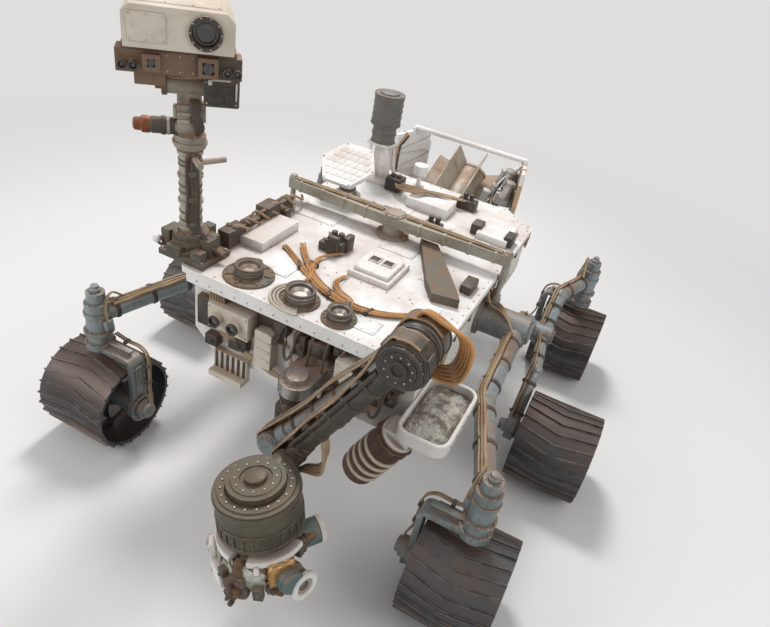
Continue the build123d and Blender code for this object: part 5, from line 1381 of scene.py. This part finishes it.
def rounded_rectangle(width, length, corner, level):
    """A closed level line: four quarter circles joined by straight runs, centred on the tray."""
    angle = np.linspace(0, pi / 2, 9)
    corners = [np.stack((cx + corner * np.cos(angle + turn), cy + corner * np.sin(angle + turn)), axis=-1)
               for cx, cy, turn in ((width / 2 - corner, length / 2 - corner, 0),
                                    (corner - width / 2, length / 2 - corner, pi / 2),
                                    (corner - width / 2, corner - length / 2, pi),
                                    (width / 2 - corner, corner - length / 2, 3 * pi / 2))]
    flat = np.concatenate(corners)
    return np.column_stack((flat + (TRAY_X, TRAY_Y + ROVER_MIDDLE_Y), np.full(len(flat), level)))


rim = Shell()
rim_line = rounded_rectangle(TRAY_WIDTH - 0.012, TRAY_LENGTH - 0.012, 0.054, TRAY_FLOOR + TRAY_HEIGHT)
turn = np.arange(10) * tau / 10
rim_out = unit(rim_line - np.roll(rim_line, 1, axis=0) + np.roll(rim_line, -1, axis=0) - rim_line)
rim_out = np.cross(rim_out, UP)
rim.grid(rim_line[:, None] + 0.0085 * rays(turn, rim_out[:, None], UP), round_u=True)
rim.piece("tray_rim", "chassis", DECK_WHITE)
bed = Shell()
out, spin = np.meshgrid(np.linspace(0.02, 1, 30), np.arange(72) * tau / 72, indexing="ij")
bed_x = (TRAY_WIDTH / 2 - 0.013) * out * np.sign(np.cos(spin)) * np.abs(np.cos(spin)) ** 0.55
bed_y = (TRAY_LENGTH / 2 - 0.013) * out * np.sign(np.sin(spin)) * np.abs(np.sin(spin)) ** 0.55
bed_z = (0.024 * (1 - out ** 2) + 0.003 * np.sin(170 * bed_x + 3 * np.sin(90 * bed_y)) * np.cos(150 * bed_y)
         + 0.002 * np.sin(390 * bed_x + 5 * np.sin(210 * bed_y)))
bed_points = np.stack((TRAY_X + bed_x, TRAY_Y + ROVER_MIDDLE_Y + bed_y, TRAY_FLOOR + 0.02 + bed_z), axis=-1)
bed.grid(bed_points)
bed.piece("tray_heap", "chassis", SPECKLED)
sleeve = Shell()
barrel_marks = ([0.0] + [0.05 * step + edge for step in range(1, 5) for edge in (0.0, 0.016)]
                + [BARREL_LENGTH - 0.02])
for start, end in zip(barrel_marks[::2], barrel_marks[1::2]):
    sleeve.hoop(((start + 0.0005, 0.074), (start + 0.0005, 0.082), (start + 0.004, 0.085),
                 (end - 0.004, 0.085), (end - 0.0005, 0.082), (end - 0.0005, 0.074)), barrel_foot,
                barrel_lean, 56)
sleeve.hoop(((-0.01, 0.056), (-0.014, 0.062), (-0.014, 0.074), (-0.002, 0.083), (0.0, 0.056)), barrel_foot,
            barrel_lean, 56)
for angle in np.arange(10) * tau / 10:
    side = cos(angle) * FORWARDS + sin(angle) * np.cross(FORWARDS, barrel_lean)
    sleeve.block(barrel_foot + 0.3 * barrel_lean + 0.086 * side, (0.022, 0.07, 0.008), 0.003, barrel_lean,
                 side)
sleeve.piece("barrel_sleeve", "chassis", BARREL_BROWN)
# The hoops' pale colour is a painted highlight on the ribs
pale = Shell()
for number in range(1, 5):
    at = 0.05 * number
    pale.hoop(((at - 0.001, 0.086), (at + 0.002, 0.092), (at + 0.014, 0.092), (at + 0.017, 0.086)),
              barrel_foot, barrel_lean, 56)
pale.piece("barrel_hoops", "chassis", RIB_HIGHLIGHT_PALE)
bolts = Shell()
bolts.studs([place(CHASSIS_HALF + TRAY_WIDTH, TRAY_Y + dy, TRAY_FLOOR + 0.03)
             for dy in (-0.14, -0.07, 0, 0.07, 0.14)], (1, 0, 0), 0.0045)
bolts.piece("tray_bolts", "chassis", BARE)


# Front fittings: lenses, striped plate, framed panels and their cables; the dark ones are the front's
# hardware and also painted shade for the shadowed front face

lenses = Shell()
for x in (-0.38, -0.28):
    dome = [(0.003 - 0.003 * t * t, 0.02 * t + 0.0003) for t in np.linspace(1, 0, 7)[::-1]]
    lenses.turned([*dome, (-0.003, 0.02)], on_front(x, 0.112, 0.94), FORWARDS, 28)
lenses.piece("front_lenses", "chassis", GLASS)
fittings = Shell()
for x in (-0.38, -0.28):
    fittings.hoop(((-0.002, 0.02), (-0.002, 0.03), (0.01, 0.03), (0.01, 0.021)),
                  on_front(x, 0.112, 0.94), FORWARDS, 36)
for number in range(6):
    fittings.block(on_front(-0.425 + 0.032 * number, 0.0315, 0.64), (0.014, 0.005, 0.128), 0.002)
# Dark strip under the deck lip, dark panels and boxes: the front's hardware, also kept dark as painted
# shade for the shadow under the deck
# columns: x, out from the front face, z, size, edge
for x, out, z, size, edge in (
        (0.3, 0.107, 0.86, (0.08, 0.004, 0.016), 0.0015), (0.245, 0.02, 0.7, (0.16, 0.05, 0.1), 0.006),
        (-0.02, 0.03, 0.7, (0.07, 0.06, 0.09), 0.006), (0.43, 0.015, 0.94, (0.09, 0.04, 0.12), 0.005),
        (-0.5, 0.015, 0.9, (0.08, 0.04, 0.16), 0.005), (-0.21, 0.002, 0.965, (0.272, 0.012, 0.162), 0.003),
        (0.21, 0.002, 0.965, (0.272, 0.012, 0.162), 0.003), (0.02, 0.02, 1.045, (0.9, 0.04, 0.03), 0.004)):
    fittings.block(on_front(x, out, z), size, edge)
# columns: x, out from the front face, z, width, depth, height
for x, out, z, width, depth, height in (
        (0.13, 0.03, 0.985, 0.1, 0.06, 0.07), (0.03, 0.026, 0.96, 0.06, 0.052, 0.11),
        (0.4, 0.03, 0.86, 0.08, 0.06, 0.07), (0.51, 0.024, 0.99, 0.07, 0.048, 0.09),
        (-0.07, 0.026, 1.0, 0.07, 0.05, 0.06), (0.22, 0.022, 1.01, 0.05, 0.044, 0.05),
        (0.49, 0.02, 0.87, 0.05, 0.04, 0.06), (-0.3, 0.024, 0.8, 0.1, 0.048, 0.07),
        (-0.45, 0.024, 0.76, 0.07, 0.048, 0.06)):
    fittings.block(on_front(x, out, z), (width, depth, height), 0.005)
    fittings.studs(place(x, CHASSIS_FRONT - out - depth / 2, z), AHEAD, 0.3 * min(width, height), 0.01, 16)
fittings.piece("front_fittings", "chassis", DARK)
# Black cables hanging across the front: harness, and also painted shade for the shadowed front face
cables = Shell()
for number in range(9):
    x, drop = 0.56 - 0.075 * number, 0.05 * (number * 7 % 4)
    line = ((x, 0.024, 1.05), (x - 0.012, 0.052 + 0.004 * (number % 3), 1.02),
            (x - 0.03, 0.062, 0.96 - drop), (x - 0.06, 0.058, 0.91 - drop), (x - 0.09, 0.03, 0.93 - drop),
            (x - 0.1, 0.0, 0.96 - drop))
    cables.cable(line, 0.008 - 0.001 * (number % 3), at=on_front)
cables.piece("front_dark_cables", "chassis", BLACK_CABLE)
frames = Shell()
for x in (-0.21, 0.21):
    for dx, dz, width, height in (
            (-0.142, 0, 0.012, 0.17), (0.142, 0, 0.012, 0.17), (0, -0.086, 0.27, 0.012),
            (0, 0.086, 0.27, 0.012)):
        frames.block(place(x + dx, CHASSIS_FRONT + 0.003, 0.965 + dz), (width, 0.016, height), 0.003)
for level in (0.8, 0.85, 0.9, 0.95):
    frames.block(on_front(0.3, 0.091, level), (0.112, 0.006, 0.01), 0.002)
    frames.block(on_front(-0.15, 0.061, level), (0.076, 0.006, 0.012), 0.002)
frames.piece("front_frames", "chassis", BEIGE)
cables = Shell()
for number in range(6):
    x = -0.46 + 0.015 * number
    line = ((x, 0.035, 1.035), (x + 0.02, 0.055, 0.96), (x + 0.05, 0.045, 0.86), (x + 0.12, 0.04, 0.79),
            (x + 0.26, 0.045, 0.755), (x + 0.36, 0.04, 0.72))
    cables.cable(line, 0.007, at=on_front)
for number in range(5):
    x = 0.4 + 0.014 * number
    line = ((x, 0.03, 1.04), (x + 0.01, 0.05, 0.98), (x + 0.01, 0.05, 0.9), (x - 0.03, 0.04, 0.8),
            (x - 0.1, 0.05, 0.74), (x - 0.16, 0.03, 0.7))
    cables.cable(line, 0.007, at=on_front)
for number in range(3):
    line = ((0.02 - 0.02 * number, 0.03, 0.72), (0.03 - 0.01 * number, 0.09, 0.7), (0.05, 0.13, 0.73),
            (0.065, 0.135, 0.79), (0.045, 0.1, 0.84), (0.0, 0.06, 0.88))
    cables.cable(line, 0.007, at=on_front)
cables.piece("front_cables", "chassis", TAN_CABLE)


# Rear: pipes on the heat exchanger plates, the power unit's end rings, the back panel

POWER_TILT, POWER_Z = radians(24), 0.88
power_way = np.array((0, cos(POWER_TILT), sin(POWER_TILT)))
power_start = place(0, CHASSIS_BACK + 0.145, POWER_Z)
PLATE_X, PLATE_Z, PLATE_Y = 0.392, 1.035, CHASSIS_BACK + 0.11 + 0.21
PLATE_TOE = radians(12)


def on_plate(side, out, along, up):
    """A point by a heat exchanger plate: out from its middle plane, along it to the rear, up."""
    turn = side * PLATE_TOE
    return place(side * PLATE_X + side * out * cos(turn) - along * sin(turn),
                 PLATE_Y + side * out * sin(turn) + along * cos(turn), PLATE_Z + up)


def plate_way(side, out):
    """The direction square to a plate, outwards where out is 1."""
    turn = side * PLATE_TOE
    return side * out * np.array((cos(turn), sin(turn), 0))


unit_rings, bolts = Shell(), Shell()
for at in (0.02, 0.427):
    unit_rings.band(at - 0.008, at + 0.008, 0.112, 0.124, power_start, power_way, 56)
unit_rings.hoop(((0.447, 0.07), (0.447, 0.1), (0.458, 0.098), (0.458, 0.07)), power_start, power_way, 48)
unit_rings.turned(((0.461, 0.05), (0.474, 0.048), (0.48, 0.03)), power_start, power_way, 36)
power_side = np.array((1.0, 0, 0))
power_up = np.cross(power_way, power_side)
for angle in radians(22.5) + np.arange(8) * tau / 8:
    outward = cos(angle) * power_side + sin(angle) * power_up
    unit_rings.tube([power_start + 0.262 * outward + at * power_way for at in (0.01, 0.22, 0.437)], 0.0062)
    for at in (0.12, 0.32):
        unit_rings.block(power_start + 0.19 * outward + at * power_way, (0.14, 0.014, 0.012), 0.003,
                         outward, power_way)
unit_rings.piece("power_unit_rings", "chassis", FINNED)
bolts.bolt_circle(power_start + 0.461 * power_way, power_way, 0.079, 14, 0.0045, 0.005)
bolts.studs([place(x, CHASSIS_BACK, z) for x in np.linspace(-0.52, 0.52, 9) for z in (0.8, 1.06)],
            (0, 1, 0))
bolts.piece("rear_bolts", "chassis", BARE)

# Places on a heat exchanger plate, along and up: its screws, the corners of its front edge and of the seal
PLATE_SCREWS = ((-0.19, -0.18), (-0.19, 0.0), (-0.19, 0.18), (0.0, -0.28), (0.0, 0.28), (0.18, -0.28),
                (0.19, 0.0), (0.1, 0.28), (-0.1, -0.28), (-0.1, 0.28))
PLATE_EDGE = ((-0.115, -0.303), (-0.163, -0.262), (-0.208, -0.217), (-0.2085, 0.0), (-0.208, 0.217),
              (-0.163, 0.262), (-0.115, 0.303))
PLATE_SEAL = ((-0.115, -0.283), (-0.163, -0.246), (-0.199, -0.21), (-0.1995, 0.0), (-0.199, 0.21),
              (-0.163, 0.246), (-0.115, 0.283))
for side_name, side in SIDES:
    pipes, screws, edging, seal = Shell(), Shell(), Shell(), Shell()
    line = [(-0.15, -0.27)]
    for number in range(9):
        level = -0.27 + 0.062 * number
        reach = 0.16 if number % 2 == 0 else -0.16
        line += [(reach * 0.9, level), (reach, level + 0.031)]
    pipes.tube(smooth_line([on_plate(side, -0.015, along, up) for along, up in line], 5), 0.006, 8)
    pipes.piece(f"exchanger_pipes_{side_name}", "chassis", WHITE)
    for way in (-1, 1):
        screws.studs([on_plate(side, way * 0.012, along, up) for along, up in PLATE_SCREWS],
                     plate_way(side, way), 0.006)
    screws.piece(f"exchanger_screws_{side_name}", "chassis", BARE)
    corners = [on_plate(side, 0, along, up) for along, up in PLATE_EDGE]
    for start, end in zip(corners, corners[1:]):
        outward = unit(np.cross(plate_way(side, 1), unit(end - start)))
        length = float(np.linalg.norm(end - start)) + 0.006
        edging.block((start + end) / 2, (0.03, length, 0.022), 0.004, plate_way(side, 1), outward)
    line = [on_plate(side, -0.018, along + 0.016, up) for along, up in PLATE_SEAL]
    seal.tube(smooth_line(line, 4), 0.007, 8)
    edging.piece(f"exchanger_edge_{side_name}", "chassis", TAN_EDGE)
    seal.piece(f"exchanger_seal_{side_name}", "chassis", BLACK_CABLE)
cluster = Shell()
# columns: x, y, z, length, radius
for x, y, z, reach, radius in (
        (0.3, 1.14, 1.22, 0.11, 0.03), (0.24, 1.2, 1.17, 0.13, 0.024), (0.31, 1.24, 1.14, 0.14, 0.026),
        (0.23, 1.1, 1.12, 0.1, 0.022), (0.33, 1.04, 1.16, 0.13, 0.028), (0.27, 1.29, 1.12, 0.12, 0.022),
        (0.2, 1.04, 1.1, 0.09, 0.026)):
    cluster.turned(((0, radius * 0.7), (0.006, radius), (reach - 0.02, radius),
                    (reach - 0.014, radius * 1.25), (reach, radius * 1.2), (reach + 0.004, radius * 0.8)),
                   place(x, y, z - 0.05), (0.25, 0.1, 1.0), 20)
for number in range(6):
    line = ((0.33, 1.05 + 0.03 * number, 0.96), (0.27 - 0.01 * number, 1.06 + 0.03 * number, 1.02),
            (0.25, 1.09 + 0.02 * number, 1.12), (0.29, 1.12 + 0.02 * number, 1.22),
            (0.352, 1.16 + 0.02 * number, 1.28))
    cluster.cable(line, 0.008)
cluster.tube(between(place(0.36, 1.04, 0.97), place(0.14, CHASSIS_BACK, 0.97), 4), 0.012, 10)
for y, z in ((1.09, 1.1), (1.17, 1.06), (1.25, 1.08)):
    cluster.block(place(0.32, y, z), (0.09, 0.06, 0.08), 0.006, (1, 0.2, 0))
cluster.piece("pump_cluster", "chassis", SILVER)
back = Shell()
# columns: x, z, width, height
for x, z, width, height in (
        (-0.42, 0.93, 0.2, 0.22), (0.42, 0.93, 0.2, 0.22), (-0.16, 1.0, 0.2, 0.12),
        (0.16, 1.0, 0.2, 0.12)):
    back.block(place(x, CHASSIS_BACK + 0.006, z), (width, 0.014, height), 0.005)
back.piece("rear_panels", "chassis", WHITE)
cables = Shell()
for number in range(6):
    x = -0.05 + 0.02 * number
    line = ((x * 2, CHASSIS_BACK + 0.01, 0.78), (x * 2.4, CHASSIS_BACK + 0.05, 0.75),
            (x * 1.8, CHASSIS_BACK + 0.08, 0.76), (x, CHASSIS_BACK + 0.085, 0.8))
    cables.cable(line, 0.007)
cables.piece("rear_cables", "chassis", TAN_CABLE)


# Antennas: the dish's patches and bolts, the can's spiral ridges

DISH_AT = place(-0.43, 0.31, 1.262)
DISH_TILT = radians(28)
dish_normal = np.array((0, -sin(DISH_TILT), cos(DISH_TILT)))
dish_up = np.array((0, cos(DISH_TILT), sin(DISH_TILT)))
dish_face = DISH_AT + 0.076 * dish_normal
patches, bolts = Shell(), Shell()
for row, count in enumerate((5, 6, 7, 6, 5)):
    for number in range(count):
        x = (number - (count - 1) / 2) * 0.04
        patches.block(dish_face + np.array((x, 0, 0)) + (row - 2) * 0.046 * dish_up, (0.033, 0.038, 0.004),
                      0.0015, (1, 0, 0), dish_normal)
patches.piece("dish_patches", "dish", WHITE)
dish_corners = dish_face + 0.16 * rays(np.arange(6) * tau / 6, np.array((1.0, 0, 0)), dish_up)
bolts.studs(dish_corners, dish_normal, 0.006)
bolts.piece("dish_bolts", "dish", BARE)
mount = Shell()
mount.block(DISH_AT + 0.044 * dish_normal, (0.12, 0.16, 0.012), 0.004, (1, 0, 0), dish_normal)
mount.turned(((0, 0.028), (0.01, 0.028), (0.034, 0.024), (0.038, 0.016)),
             DISH_AT + (0.05, 0, 0), (1, 0, 0), 24)
mount.piece("dish_mount", "dish", BAR_GREY)
yoke = Shell()
yoke.band(0, 0.01, 0.042, 0.05, place(-0.43, 0.31, 1.167), UP, 36)
yoke.block(place(-0.43, 0.31 - 0.028, 1.212), (0.036, 0.01, 0.04), 0.003)
yoke.piece("dish_yoke_bands", "dish_pan", DARK)
CAN_X, CAN_Y, CAN_FLOOR = -0.415, 0.68, 1.37
ridges = Shell()
t = np.linspace(0, 1, 40)
for start in range(4):
    spin = start * tau / 4 + 1.1 * tau * t
    spiral = np.stack((0.0885 * np.cos(spin), 0.0885 * np.sin(spin), 0.166 * t), axis=-1)
    ridges.tube(place(CAN_X, CAN_Y, CAN_FLOOR + 0.112) + spiral, 0.0035, 6)
for height, radius in ((0.0, 0.072), (0.05, 0.072), (0.1, 0.072), (0.108, 0.088), (0.284, 0.088)):
    ridges.band(0, 0.007, radius - 0.004, radius + 0.004, place(CAN_X, CAN_Y, CAN_FLOOR + height), UP, 48)
ridges.turned(((0.29, 0.06), (0.298, 0.058), (0.302, 0.046)), place(CAN_X, CAN_Y, CAN_FLOOR), UP, 40)
ridges.piece("relay_ridges", "chassis", CAN_GREY)
